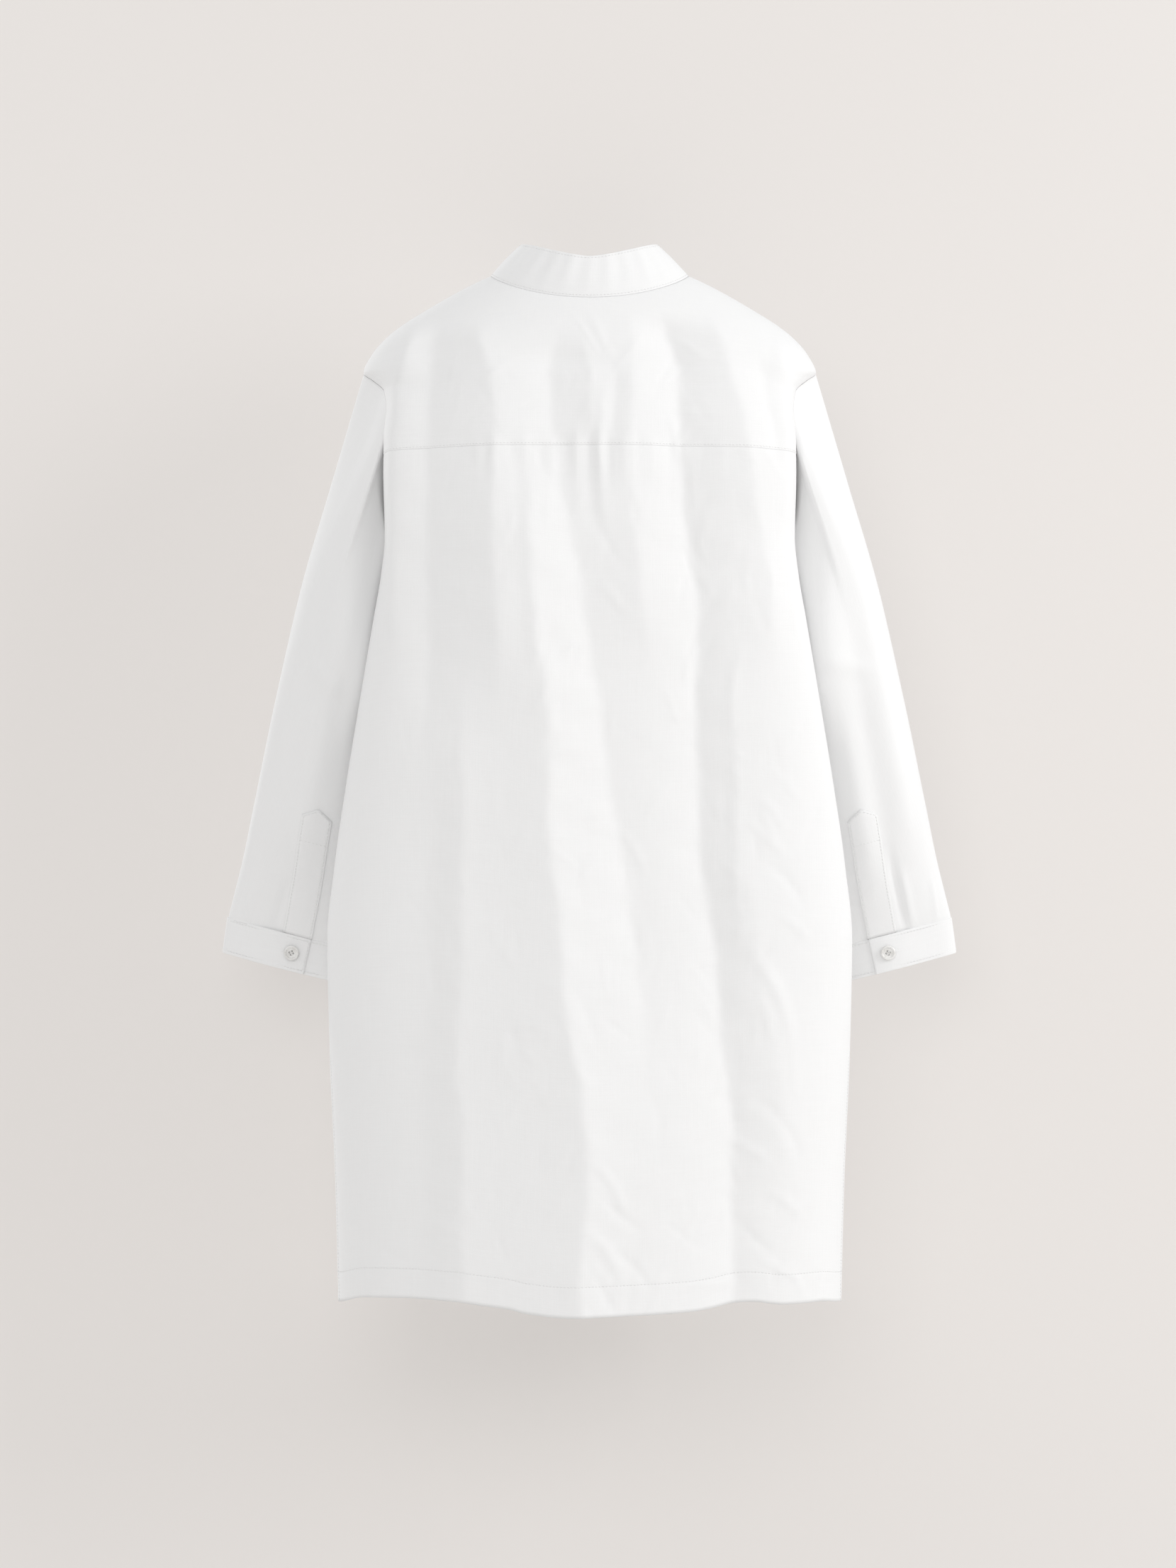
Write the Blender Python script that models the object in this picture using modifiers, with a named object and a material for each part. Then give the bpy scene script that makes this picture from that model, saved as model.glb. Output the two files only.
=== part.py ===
"""A long linen tunic top with a stand collar, a back yoke and buttoned cuffs, filled out and hollow.

Metres, +Z up. The origin is at the middle of the neck's base, where the wearer's neck and shoulders
carry it. The wearer faces -Y, and +X is the wearer's left. Each cut piece is a thin wall on one
shared form, a body of level rings and a sleeve of slanted rings, so that neighbours meet at seams.
"""
import math
from collections import namedtuple

import bmesh
import bpy
import numpy as np
from mathutils import Matrix, Vector

# The cloth and its seams
CLOTH = 0.0012
GAP = 0.0003
FLAT_SETBACK = 0.00022
BENT_SETBACK = 0.0007
ARMHOLE_SETBACK = 0.0024

# Heights of the body, and the levels that its panels' rows share
HEM_Z = -0.9245
VENT_TOP_Z = -0.713
UNDERARM_Z = -0.275
TIP_Z = -0.0885
YOKE_SEAM_Z = -0.167
YOKE_SEAM_RISE = 0.005
SLIT_END_Z = -0.345
STRIP_END_Z = -0.357

# The neckline and the collar band
NECK_HALF = 0.0895
NECK_DROP_BACK = 0.027
NECK_DROP_FRONT = 0.075
NECK_CURVE = 1.4
COLLAR_TOP_HALF = 0.062
COLLAR_TOP_BACK_Y = 0.048
COLLAR_TOP_FRONT_Y = 0.060
COLLAR_TOP_SIDE_Z = 0.028
COLLAR_TOP_BACK_Z = 0.011
COLLAR_TOP_FRONT_Z = -0.039
COLLAR_CURVE = 1.5
COLLAR_STEP = 0.0015

# The front placket
SLIT_HALF = 0.0125
STRIP_HALF = 0.0145
PLACKET_BUTTONS = 3
# The first button's distance down the placket and the plain end below the last, in button spacings
PLACKET_FIRST = 0.8
PLACKET_SPARE = 0.6

# The armhole: how far its underarm point, back edge and front edge swing forward of the side line
UNDERARM_SWING = math.radians(18)
BACK_EDGE_SWING = math.radians(-7)
FRONT_EDGE_SWING = math.radians(21)
VENT_SPREAD_BACK = math.radians(-0.7)
VENT_SPREAD_FRONT = math.radians(4)

# The left sleeve's straight outer line, the cuff and the sleeve placket
SLEEVE_START = Vector((0.2045, 0.0, -0.0885))
SLEEVE_END = Vector((0.332, 0.0, -0.5818))
ARMHOLE_EASE = 0.4
CUFF_HEIGHT = 0.033
CUFF_HALF = 0.0565
CUFF_HALF_DEPTH = 0.0142
CUFF_TAPER = 0.002
CUFF_OVERLAP_EDGE = -0.0245
CUFF_BUTTON_PLACE = -0.009
SLEEVE_STRIP_WIDTH = 0.027
SLEEVE_STRIP_LENGTH = 0.118
SLEEVE_STRIP_POINT = 0.008

# The buttons
BUTTON_RADIUS = 0.00675
BUTTON_THICK = 0.0026
BUTTON_RIM_SHARE = 0.72
BUTTON_DISH_SHARE = 0.62

WHITE_LINEN = (0.86, 0.86, 0.85)
PEARL_WHITE = (0.84, 0.83, 0.80)

# The body's level rings. half: half width. back, front: reach behind and before the origin.
# side_y: where the ring is widest. back_round, front_round: under 1 is boxier than an ellipse.
Ring = namedtuple("Ring", "z half back front side_y back_round front_round")
RINGS = [
    Ring(0.000, 0.0895, 0.034, 0.030, 0.000, 0.95, 0.95),
    Ring(-0.010, 0.1100, 0.044, 0.036, 0.000, 0.92, 0.92),
    Ring(-0.021, 0.1300, 0.053, 0.042, 0.000, 0.90, 0.88),
    Ring(-0.033, 0.1500, 0.061, 0.047, 0.000, 0.88, 0.84),
    Ring(-0.045, 0.1690, 0.067, 0.052, 0.000, 0.85, 0.80),
    Ring(-0.057, 0.1840, 0.072, 0.057, 0.000, 0.82, 0.76),
    Ring(-0.072, 0.1970, 0.077, 0.063, 0.000, 0.80, 0.72),
    Ring(-0.0885, 0.2045, 0.082, 0.070, 0.000, 0.78, 0.68),
    Ring(-0.096, 0.1960, 0.085, 0.073, 0.008, 0.77, 0.66),
    Ring(-0.107, 0.1850, 0.088, 0.078, 0.022, 0.76, 0.64),
    Ring(-0.125, 0.1820, 0.092, 0.084, 0.036, 0.75, 0.62),
    Ring(-0.150, 0.1840, 0.097, 0.091, 0.042, 0.74, 0.60),
    Ring(-0.180, 0.1840, 0.101, 0.098, 0.046, 0.73, 0.60),
    Ring(-0.240, 0.1825, 0.104, 0.107, 0.050, 0.72, 0.68),
    Ring(-0.275, 0.1860, 0.105, 0.110, 0.050, 0.72, 0.82),
    Ring(-0.310, 0.1920, 0.106, 0.110, 0.050, 0.72, 1.12),
    Ring(-0.380, 0.2040, 0.106, 0.108, 0.047, 0.73, 1.28),
    Ring(-0.460, 0.2175, 0.105, 0.106, 0.040, 0.74, 1.34),
    Ring(-0.530, 0.2280, 0.105, 0.105, 0.034, 0.75, 1.32),
    Ring(-0.600, 0.2350, 0.106, 0.104, 0.030, 0.76, 1.24),
    Ring(-0.700, 0.2335, 0.108, 0.103, 0.022, 0.78, 1.10),
    Ring(-0.820, 0.2290, 0.110, 0.102, 0.014, 0.80, 1.00),
    Ring(-0.930, 0.2265, 0.112, 0.102, 0.010, 0.82, 0.95),
]

# The body's largest folds, each along a line through three points as x and z. height: above 0 is a
# ridge, below 0 a trough. A line that runs past a seam or the hem doesn't fade there.
BACK, FRONT = 1, -1
Fold = namedtuple("Fold", "face x_top z_top x_mid z_mid x_low z_low half_width height")
FOLDS = [
    Fold(BACK, 0.150, -0.030, 0.164, -0.170, 0.168, -0.360, 0.013, 0.004),
    Fold(BACK, 0.112, -0.030, 0.134, -0.150, 0.146, -0.980, 0.021, -0.007),
    Fold(BACK, 0.070, -0.035, 0.085, -0.160, 0.082, -0.420, 0.016, 0.005),
    Fold(BACK, 0.058, -0.090, 0.056, -0.250, 0.052, -0.420, 0.013, -0.003),
    Fold(BACK, 0.106, -0.380, 0.112, -0.620, 0.113, -0.980, 0.022, 0.007),
    Fold(BACK, 0.047, -0.140, 0.032, -0.480, 0.001, -0.980, 0.018, 0.007),
    Fold(BACK, 0.028, -0.040, -0.006, -0.360, -0.050, -0.840, 0.018, -0.006),
    Fold(BACK, -0.036, -0.030, -0.056, -0.400, -0.098, -0.980, 0.026, 0.007),
    Fold(BACK, -0.070, -0.030, -0.101, -0.350, -0.128, -0.980, 0.018, -0.007),
    Fold(BACK, -0.118, -0.030, -0.146, -0.240, -0.138, -0.680, 0.020, 0.006),
    Fold(BACK, -0.150, -0.050, -0.160, -0.110, -0.168, -0.190, 0.009, -0.004),
    Fold(FRONT, 0.060, -0.150, 0.068, -0.480, 0.090, -0.980, 0.024, 0.007),
    Fold(FRONT, 0.112, -0.090, 0.110, -0.300, 0.128, -0.980, 0.020, -0.006),
    Fold(FRONT, 0.028, -0.400, 0.036, -0.650, 0.048, -0.980, 0.022, -0.006),
    Fold(FRONT, -0.052, -0.180, -0.064, -0.520, -0.070, -0.980, 0.022, 0.006),
    Fold(FRONT, -0.098, -0.080, -0.106, -0.330, -0.118, -0.980, 0.018, -0.007),
    Fold(FRONT, -0.138, -0.330, -0.142, -0.500, -0.150, -0.980, 0.018, 0.005),
]
FOLD_FADE = 0.045

# The left sleeve's rings. along: share of the outer line. bow: how far the outer line stands out.
# half: half width across. mid_y, half_depth: the ring's middle and half reach, front to back.
SleeveRing = namedtuple("SleeveRing", "along bow half mid_y half_depth")
SLEEVE_RINGS = [
    SleeveRing(0.00, 0.000, 0.0480, -0.010, 0.052),
    SleeveRing(0.20, 0.004, 0.0485, -0.014, 0.058),
    SleeveRing(0.40, 0.008, 0.0485, -0.022, 0.059),
    SleeveRing(0.60, 0.006, 0.0490, -0.030, 0.052),
    SleeveRing(0.80, 0.002, 0.0510, -0.038, 0.038),
    SleeveRing(0.92, 0.000, 0.0535, -0.043, 0.023),
    SleeveRing(1.00, 0.000, 0.0555, -0.045, 0.0135),
]

# The sleeves' soft lengthways folds. turn: degrees from the outer line, over the back.
# side: +1 is the wearer's left sleeve.
SleeveFold = namedtuple("SleeveFold", "side turn top low half_turn height")
SLEEVE_FOLDS = [
    SleeveFold(1, 62, 0.15, 0.80, 17, -0.003),
    SleeveFold(1, 218, 0.26, 0.90, 24, -0.005),
    SleeveFold(1, 292, 0.25, 0.85, 18, -0.004),
    SleeveFold(-1, 34, 0.06, 0.75, 14, -0.004),
    SleeveFold(-1, 74, 0.12, 0.92, 15, -0.005),
    SleeveFold(-1, 222, 0.24, 0.90, 26, -0.006),
    SleeveFold(-1, 300, 0.32, 0.90, 16, -0.004),
]


def smooth(rows, column, at):
    """A table's column at a key, on a curve through its rows that never overshoots them."""
    rows = sorted(rows)
    keys = np.array([row[0] for row in rows])
    values = np.array([getattr(row, column) for row in rows])
    steps = np.diff(keys)
    rates = np.diff(values) / steps
    both = rates[:-1] * rates[1:]
    total = np.where(both > 0, rates[:-1] + rates[1:], 1.0)
    slopes = np.concatenate([rates[:1], np.where(both > 0, 2 * both / total, 0.0), rates[-1:]])
    at = np.clip(at, keys[0], keys[-1])
    i = np.clip(np.searchsorted(keys, at, side="right") - 1, 0, len(steps) - 1)
    t = (at - keys[i]) / steps[i]
    start = (1 + 2 * t) * (1 - t) ** 2 * values[i] + t * (1 - t) ** 2 * steps[i] * slopes[i]
    end = t * t * (3 - 2 * t) * values[i + 1] + t * t * (t - 1) * steps[i] * slopes[i + 1]
    return start + end


def ramp(value, low, high):
    """0 below low, 1 above high, and a soft step between them."""
    t = np.clip((value - low) / (high - low), 0.0, 1.0)
    return t * t * (3 - 2 * t)


def stack(x, y, z):
    return np.stack(np.broadcast_arrays(x, y, z), axis=-1).astype(float)


# ---- The body's form


def fold_height(face, x, z):
    """How far the folds of one face stand out at x, z."""
    height = np.zeros(np.broadcast(x, z).shape)
    for fold in (f for f in FOLDS if f.face == face):
        line = np.interp(z, (fold.z_low, fold.z_mid, fold.z_top), (fold.x_low, fold.x_mid, fold.x_top))
        fade = ramp(z, fold.z_low, fold.z_low + FOLD_FADE) * ramp(-z, -fold.z_top, -fold.z_top + FOLD_FADE)
        height = height + fold.height * fade * np.exp(-(((x - line) / fold.half_width) ** 2))
    return height


def body(angle, z):
    """The body's outer face. angle is 0 at centre back, a quarter turn at the wearer's left side."""
    half, side_y = smooth(RINGS, "half", z), smooth(RINGS, "side_y", z)
    back, front = smooth(RINGS, "back", z), smooth(RINGS, "front", z)
    cos, sin = np.cos(angle), np.sin(angle)
    turn = np.maximum(np.abs(cos), 1e-9)
    behind = (back - side_y) * turn ** smooth(RINGS, "back_round", z)
    before = (front + side_y) * turn ** smooth(RINGS, "front_round", z)
    x = half * sin
    y = side_y + np.where(cos >= 0, behind, -before)
    stand = np.where(cos >= 0, fold_height(BACK, x, z), fold_height(FRONT, x, z)) * ramp(turn, 0.05, 0.4)
    facing = np.hypot(sin / half, cos / back)
    return stack(x + stand * sin / half / facing, y + stand * cos / back / facing, z)


def armhole(turn):
    """Angle and height of the armhole at a turn: 0 at the shoulder tip, half a turn at the underarm."""
    middle, reach = (TIP_Z + UNDERARM_Z) / 2, (TIP_Z - UNDERARM_Z) / 2
    cos, sin = np.cos(turn), np.sin(turn)
    swing = np.where(sin >= 0, BACK_EDGE_SWING, -FRONT_EDGE_SWING) * sin
    return math.pi / 2 + UNDERARM_SWING * (1 - cos) / 2 + swing, middle + reach * cos


def side_angle(z, face):
    """The angle of a panel's side edge: shoulder seam, armhole, side seam or vent."""
    middle, reach = (TIP_Z + UNDERARM_Z) / 2, (TIP_Z - UNDERARM_Z) / 2
    turn = np.arccos(np.clip((z - middle) / reach, -1, 1))
    at_armhole = armhole(face * turn)[0]
    above_vent = np.clip((z - VENT_TOP_Z) / (UNDERARM_Z - VENT_TOP_Z), 0, 1)
    below_vent = np.clip((VENT_TOP_Z - z) / (VENT_TOP_Z - HEM_Z), 0, 1)
    spread = VENT_SPREAD_BACK if face == BACK else VENT_SPREAD_FRONT
    at_side = math.pi / 2 + UNDERARM_SWING * above_vent**2 + spread * below_vent
    return np.where(z >= TIP_Z, math.pi / 2, np.where(z > UNDERARM_Z, at_armhole, at_side))


def neck_height(turn):
    """The neckline's height at a turn from centre back."""
    cos = np.cos(turn)
    drop = np.where(cos >= 0, NECK_DROP_BACK, NECK_DROP_FRONT)
    return -drop * np.abs(cos) ** NECK_CURVE


def neck_angle(turn):
    """The body's angle at the neckline, so that the neckline is an oval from above."""
    ratio = np.clip(NECK_HALF * np.sin(turn) / smooth(RINGS, "half", neck_height(turn)), -1, 1)
    return np.where(np.cos(turn) >= 0, np.arcsin(ratio), math.pi - np.arcsin(ratio))


def panel(face, shares, heights, inner_half=0.0, to_neck=None):
    """A grid of points on one face, row by row from the bottom.

    shares run from the wearer's right edge, -1, to the left edge, 1, and 0 is the middle, or the
    slit's edge where inner_half is given. heights are the rows' heights at the side edge. Above
    to_neck the rows bend, so that the top row is the neckline.
    """
    share, side_z = np.meshgrid(shares, heights)
    rise = np.zeros_like(side_z) if to_neck is None else ramp(side_z, to_neck, 0.0)
    quarter = math.pi / 2
    inner_turn = math.asin(inner_half / NECK_HALF)
    turn = inner_turn + (quarter - inner_turn) * np.abs(share)
    from_back = turn if face == BACK else math.pi - turn
    z = side_z + neck_height(from_back) * rise
    edge = side_angle(z, face) if face == BACK else math.pi - side_angle(z, face)
    inner = np.arcsin(inner_half / smooth(RINGS, "half", z))
    at_neck = neck_angle(from_back) if face == BACK else math.pi - neck_angle(from_back)
    inner_top = math.asin(inner_half / float(smooth(RINGS, "half", -NECK_DROP_FRONT)))
    even = inner_top + (quarter - inner_top) * np.abs(share)
    away = inner + (edge - inner) * np.abs(share) + (at_neck - even) * rise**2
    away = away * np.where(share < 0, -1, 1)
    return body(away, z) if face == BACK else body(math.pi - away, z)


# ---- The sleeve's form

ALONG = SLEEVE_END - SLEEVE_START
SLEEVE_LENGTH = ALONG.length
DOWN = np.array(ALONG.normalized())
OUT = np.array((-DOWN[2], 0.0, DOWN[0]))
BEHIND = np.array((0.0, 1.0, 0.0))
ARMHOLE_MIDDLE = np.array((0.180, -0.012, -0.182))


def sleeve_tube(turn, along):
    """The plain tube of the left sleeve, from its outer line over the back."""
    half = smooth(SLEEVE_RINGS, "half", along)
    out = smooth(SLEEVE_RINGS, "bow", along) - half * (1 - np.cos(turn))
    behind = smooth(SLEEVE_RINGS, "mid_y", along) + smooth(SLEEVE_RINGS, "half_depth", along) * np.sin(turn)
    place = np.array(SLEEVE_START) + np.multiply.outer(along * SLEEVE_LENGTH, DOWN)
    return place + np.multiply.outer(out, OUT) + np.multiply.outer(behind, BEHIND)


def sleeve_start(turn):
    """The sleeve's first points, just inside the armhole, and their shares along the outer line."""
    points = body(*armhole(turn))
    inward = ARMHOLE_MIDDLE - points
    points = points + inward / np.linalg.norm(inward, axis=-1, keepdims=True) * ARMHOLE_SETBACK
    return points, (points - np.array(SLEEVE_START)) @ DOWN / SLEEVE_LENGTH


def sleeve(turn, along, side=1):
    """The left sleeve's outer face: the tube, drawn to the armhole at its top, with its folds."""
    turn, along = np.broadcast_arrays(np.asarray(turn, float), np.asarray(along, float))
    points, first = sleeve_start(turn)
    share = (along - first) / (1 - first)
    hold = 1 - ramp(share, 0.0, ARMHOLE_EASE)
    stand = np.zeros(turn.shape)
    for fold in (f for f in SLEEVE_FOLDS if f.side == side):
        across = (np.degrees(turn) - fold.turn + 180) % 360 - 180
        fade = ramp(along, fold.top, fold.top + 0.15) * ramp(-along, -fold.low, -fold.low + 0.15)
        stand = stand + fold.height * fade * np.exp(-((across / fold.half_turn) ** 2))
    facing = np.multiply.outer(np.cos(turn), OUT) + np.multiply.outer(np.sin(turn), BEHIND)
    pulled = (points - sleeve_tube(turn, first)) * hold[..., None]
    return sleeve_tube(turn, along) + pulled + facing * stand[..., None]


def cuff(turn, down):
    """The left cuff's outer face, down from its seam. It is lifted where it laps over itself."""
    turn, down = np.broadcast_arrays(np.asarray(turn, float), np.asarray(down, float))
    lift = (CLOTH + GAP) * ramp(turn, math.radians(45), math.radians(88))
    half, share = CUFF_HALF - CUFF_TAPER * down / CUFF_HEIGHT, down / CUFF_HEIGHT
    top = np.array(SLEEVE_END) - OUT * SLEEVE_RINGS[-1].half
    middle = top + np.multiply.outer(down, DOWN) - np.multiply.outer(share * CUFF_TAPER, OUT)
    out, behind = half * np.cos(turn), (CUFF_HALF_DEPTH + lift) * np.sin(turn)
    mid_y = SLEEVE_RINGS[-1].mid_y
    return middle + np.multiply.outer(out, OUT) + np.multiply.outer(mid_y + behind, BEHIND)


def cuff_turn(place):
    """The turn at a place on the cuff's back face, measured from its middle towards its outer line."""
    return math.acos(place / CUFF_HALF)


# ---- Walls


def lifted(surface, u, v, out, step=1e-4):
    """Points of a surface, moved out along its normal."""
    along_u = surface(u + step, v) - surface(u - step, v)
    along_v = surface(u, v + step) - surface(u, v - step)
    normal = np.cross(along_v, along_u)
    return surface(u, v) + normal / np.linalg.norm(normal, axis=-1, keepdims=True) * out


def set_back(grid, low=0.0, high=0.0, first=0.0, last=0.0):
    """Draws a grid's edge rows and columns in along the cloth, so that seams stay open."""
    grid = grid.copy()
    for edge, inner, distance in ((0, 1, low), (-1, -2, high)):
        towards = grid[inner] - grid[edge]
        grid[edge] += towards / np.linalg.norm(towards, axis=-1, keepdims=True) * distance
    for edge, inner, distance in ((0, 1, first), (-1, -2, last)):
        towards = grid[:, inner] - grid[:, edge]
        grid[:, edge] += towards / np.linalg.norm(towards, axis=-1, keepdims=True) * distance
    return grid


def material(name, colour, roughness):
    made = bpy.data.materials.new(name)
    made.use_nodes = True
    shader = made.node_tree.nodes["Principled BSDF"]
    shader.inputs["Base Color"].default_value = (*colour, 1.0)
    shader.inputs["Roughness"].default_value = roughness
    shader.inputs["Metallic"].default_value = 0.0
    made.diffuse_color = (*colour, 1.0)
    return made


def add_object(name, mesh, colour=WHITE_LINEN, roughness=0.85):
    made = bpy.data.objects.new(name, mesh)
    mesh.materials.append(material(name + "_finish", colour, roughness))
    TUNIC.objects.link(made)
    return made


def wall(name, grid, closed=False, flip=False, keep=None):
    """A cloth wall over a grid of points, thickened inward. keep says which cells are cloth."""
    rows, columns = grid.shape[:2]
    index = np.arange(rows * columns).reshape(rows, columns)
    right = np.roll(index, -1, axis=1)
    count = columns if closed else columns - 1
    faces = []
    for r in range(rows - 1):
        for c in range(count):
            if keep is None or keep(r, c):
                quad = (index[r, c], index[r + 1, c], right[r + 1, c], right[r, c])
                faces.append(quad[::-1] if flip else quad)
    mesh = bpy.data.meshes.new(name)
    mesh.from_pydata(grid.reshape(-1, 3).tolist(), [], [[int(i) for i in face] for face in faces])
    shaped = bmesh.new()
    shaped.from_mesh(mesh)
    bmesh.ops.delete(shaped, geom=[v for v in shaped.verts if not v.link_faces], context="VERTS")
    shaped.to_mesh(mesh)
    shaped.free()
    mesh.shade_smooth()
    made = add_object(name, mesh)
    thick = made.modifiers.new("Cloth", "SOLIDIFY")
    thick.thickness = CLOTH
    thick.offset = -1.0
    return made


def mirrored(grid):
    return grid * np.array((-1.0, 1.0, 1.0))


# ---- The pieces

# Levels and how many rows lead up to each from the one before.
TO_UNDERARM = ((HEM_Z, 0), (VENT_TOP_Z, 4), (STRIP_END_Z, 7), (SLIT_END_Z, 1), (UNDERARM_Z, 2))
TO_NECK = (*TO_UNDERARM, (YOKE_SEAM_Z, 3), (TIP_Z, 3), (0.0, 5))


def levels(steps):
    """The heights of a panel's rows."""
    heights = [steps[0][0]]
    for level, count in steps[1:]:
        heights.extend(np.linspace(heights[-1], level, count + 1)[1:])
    return np.array(heights)



def make_back():
    """The back panel from hem to yoke seam, and the yoke from that seam to the neckline."""
    shares = np.linspace(-1, 1, 31)
    rise = (1 - shares**2) * YOKE_SEAM_RISE
    heights = levels((*TO_UNDERARM, (YOKE_SEAM_Z, 3)))
    bend = ramp(heights, UNDERARM_Z, YOKE_SEAM_Z)
    grid = panel(BACK, shares, heights)
    grid[..., 2] += np.multiply.outer(bend, rise)
    wall("back_panel", set_back(grid, high=FLAT_SETBACK, first=BENT_SETBACK, last=BENT_SETBACK))

    heights = levels(((YOKE_SEAM_Z, 0), (TIP_Z, 3), (0.0, 5)))
    bend = 1 - ramp(heights, YOKE_SEAM_Z, TIP_Z)
    grid = panel(BACK, shares, heights, to_neck=YOKE_SEAM_Z)
    grid[..., 2] += np.multiply.outer(bend, rise)
    grid = set_back(grid, low=FLAT_SETBACK, high=FLAT_SETBACK, first=BENT_SETBACK, last=BENT_SETBACK)
    wall("back_yoke", grid)


def make_front():
    """The front, cut in one, with a slit down from the neckline that the placket strips fill."""
    half_shares = np.linspace(0, 1, 11)
    shares = np.concatenate([half_shares[::-1], -half_shares])
    shares[len(half_shares)] = -1e-9
    heights = levels(TO_NECK)
    slit_row = int(np.argmin(np.abs(heights - SLIT_END_Z)))
    slit_column = len(half_shares) - 1
    grid = panel(FRONT, shares, heights, inner_half=SLIT_HALF, to_neck=UNDERARM_Z)
    wall("front_panel", set_back(grid, high=FLAT_SETBACK, first=BENT_SETBACK, last=BENT_SETBACK),
         keep=lambda r, c: c != slit_column or r < slit_row)


def front_strip(out, top_setback):
    """A strip over the slit, out from the front's outer face, from the neckline to below the slit."""
    x = np.linspace(STRIP_HALF, -STRIP_HALF, 5)
    heights = levels(TO_NECK)
    side_z = heights[heights > STRIP_END_Z - GAP][:, None]
    z = side_z + neck_height(math.pi - np.arcsin(x / NECK_HALF)) * ramp(side_z, UNDERARM_Z, 0.0)
    angle = math.pi - np.arcsin(x / smooth(RINGS, "half", z))
    return set_back(lifted(body, angle, z, out), high=top_setback)


def make_placket():
    """The placket's outer strip and the strip under it, with the slit's edges between them."""
    wall("front_placket", front_strip(GAP + CLOTH, BENT_SETBACK))
    wall("front_underlap", front_strip(-2 * GAP - CLOTH, BENT_SETBACK))


COLLAR_LAP = math.asin(STRIP_HALF / NECK_HALF)


def collar_points(turn, share):
    """Points of the collar band at turns from centre back, and shares of its height."""
    base = body(neck_angle_round(turn), neck_height(turn))
    sin, cos = np.sin(turn), np.cos(turn)
    side = np.abs(sin) ** COLLAR_CURVE
    low_z = np.where(cos >= 0, COLLAR_TOP_BACK_Z, COLLAR_TOP_FRONT_Z)
    deep = np.where(cos >= 0, COLLAR_TOP_BACK_Y, COLLAR_TOP_FRONT_Y)
    top = stack(COLLAR_TOP_HALF * sin, deep * cos, low_z + (COLLAR_TOP_SIDE_Z - low_z) * side)
    step = COLLAR_STEP * np.sign(turn) * ramp(np.abs(turn), math.pi - 2 * COLLAR_LAP, math.pi - COLLAR_LAP)
    outward = stack(sin * step, cos * step, 0 * step)
    return base + (top - base) * np.asarray(share)[..., None] + outward


def neck_angle_round(turn):
    """neck_angle for turns past centre front, where the collar's ends lap."""
    past = np.abs(turn) > math.pi
    angle = neck_angle(np.where(past, 2 * math.pi - np.abs(turn), np.abs(turn)))
    return np.where(past, 2 * math.pi - angle, angle) * np.sign(turn)


def make_collar():
    """The collar band, from its underlap end round the back to its overlap end."""
    turn = np.linspace(-math.pi - COLLAR_LAP, math.pi + COLLAR_LAP, 37)
    wall("collar_band", set_back(collar_points(turn, np.linspace(0, 1, 4)[:, None]), low=BENT_SETBACK))


def make_sleeve(name, side):
    """A sleeve from its armhole to the cuff's seam, one closed tube."""
    turn = np.linspace(0, 2 * math.pi, 18, endpoint=False)
    first = sleeve_start(turn)[1]
    share = np.array((0, 0.03, 0.08, 0.15, 0.23, 0.32, 0.42, 0.52, 0.62, 0.72, 0.81, 0.88, 0.94, 1.0))
    share = share[:, None]
    grid = sleeve(turn, first + (1 - first) * share, side)
    grid = set_back(grid, high=BENT_SETBACK)
    wall(name, grid if side > 0 else mirrored(grid), closed=True, flip=side < 0)


def make_sleeve_strip(name, side):
    """The sleeve placket: a strip on the sleeve, up from the cuff's seam to a low point."""
    across = np.linspace(0, 1, 5)
    place = CUFF_OVERLAP_EDGE + SLEEVE_STRIP_WIDTH * across
    top = SLEEVE_STRIP_LENGTH - SLEEVE_STRIP_POINT * np.abs(2 * across - 1)
    along = 1 - top * np.linspace(1, 0, 8)[:, None] / SLEEVE_LENGTH
    turn = np.arccos(place / smooth(SLEEVE_RINGS, "half", along))
    grid = lifted(lambda u, v: sleeve(u, v, side), turn, along, 2 * GAP + CLOTH)
    grid = set_back(grid, high=BENT_SETBACK)
    wall(name, grid if side > 0 else mirrored(grid), flip=side > 0)


def make_cuff(name, side):
    """A cuff: one strip round the wrist, from its edge on the back face to its lap under that edge."""
    turn = np.linspace(cuff_turn(CUFF_OVERLAP_EDGE), math.pi / 2 - 2 * math.pi, 33)
    down = np.array((GAP, CUFF_HEIGHT * 0.5, CUFF_HEIGHT))[:, None]
    grid = cuff(turn, down)
    wall(name, grid if side > 0 else mirrored(grid), flip=side > 0)


def button_mesh():
    """A turned button: a raised rim round a shallow dish, with a flat underside."""
    rim, dish = BUTTON_RADIUS * BUTTON_RIM_SHARE, BUTTON_THICK * BUTTON_DISH_SHARE
    profile = [(0.0, dish), (rim - 0.0008, dish), (rim, BUTTON_THICK),
               (BUTTON_RADIUS - 0.0006, BUTTON_THICK), (BUTTON_RADIUS, BUTTON_THICK * 0.6),
               (BUTTON_RADIUS, BUTTON_THICK * 0.3), (BUTTON_RADIUS - 0.0012, 0.0), (0.0, 0.0)]
    mesh = bpy.data.meshes.new("button_profile")
    edges = [(i, i + 1) for i in range(len(profile) - 1)]
    mesh.from_pydata([(r, 0.0, z) for r, z in profile], edges, [])
    turned = bpy.data.objects.new("button_profile", mesh)
    TUNIC.objects.link(turned)
    screw = turned.modifiers.new("Turn", "SCREW")
    screw.steps = screw.render_steps = 18
    screw.use_merge_vertices = True
    screw.merge_threshold = 0.00001
    ready = turned.evaluated_get(bpy.context.evaluated_depsgraph_get())
    made = bpy.data.meshes.new_from_object(ready)
    bpy.data.objects.remove(turned)
    return made


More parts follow.
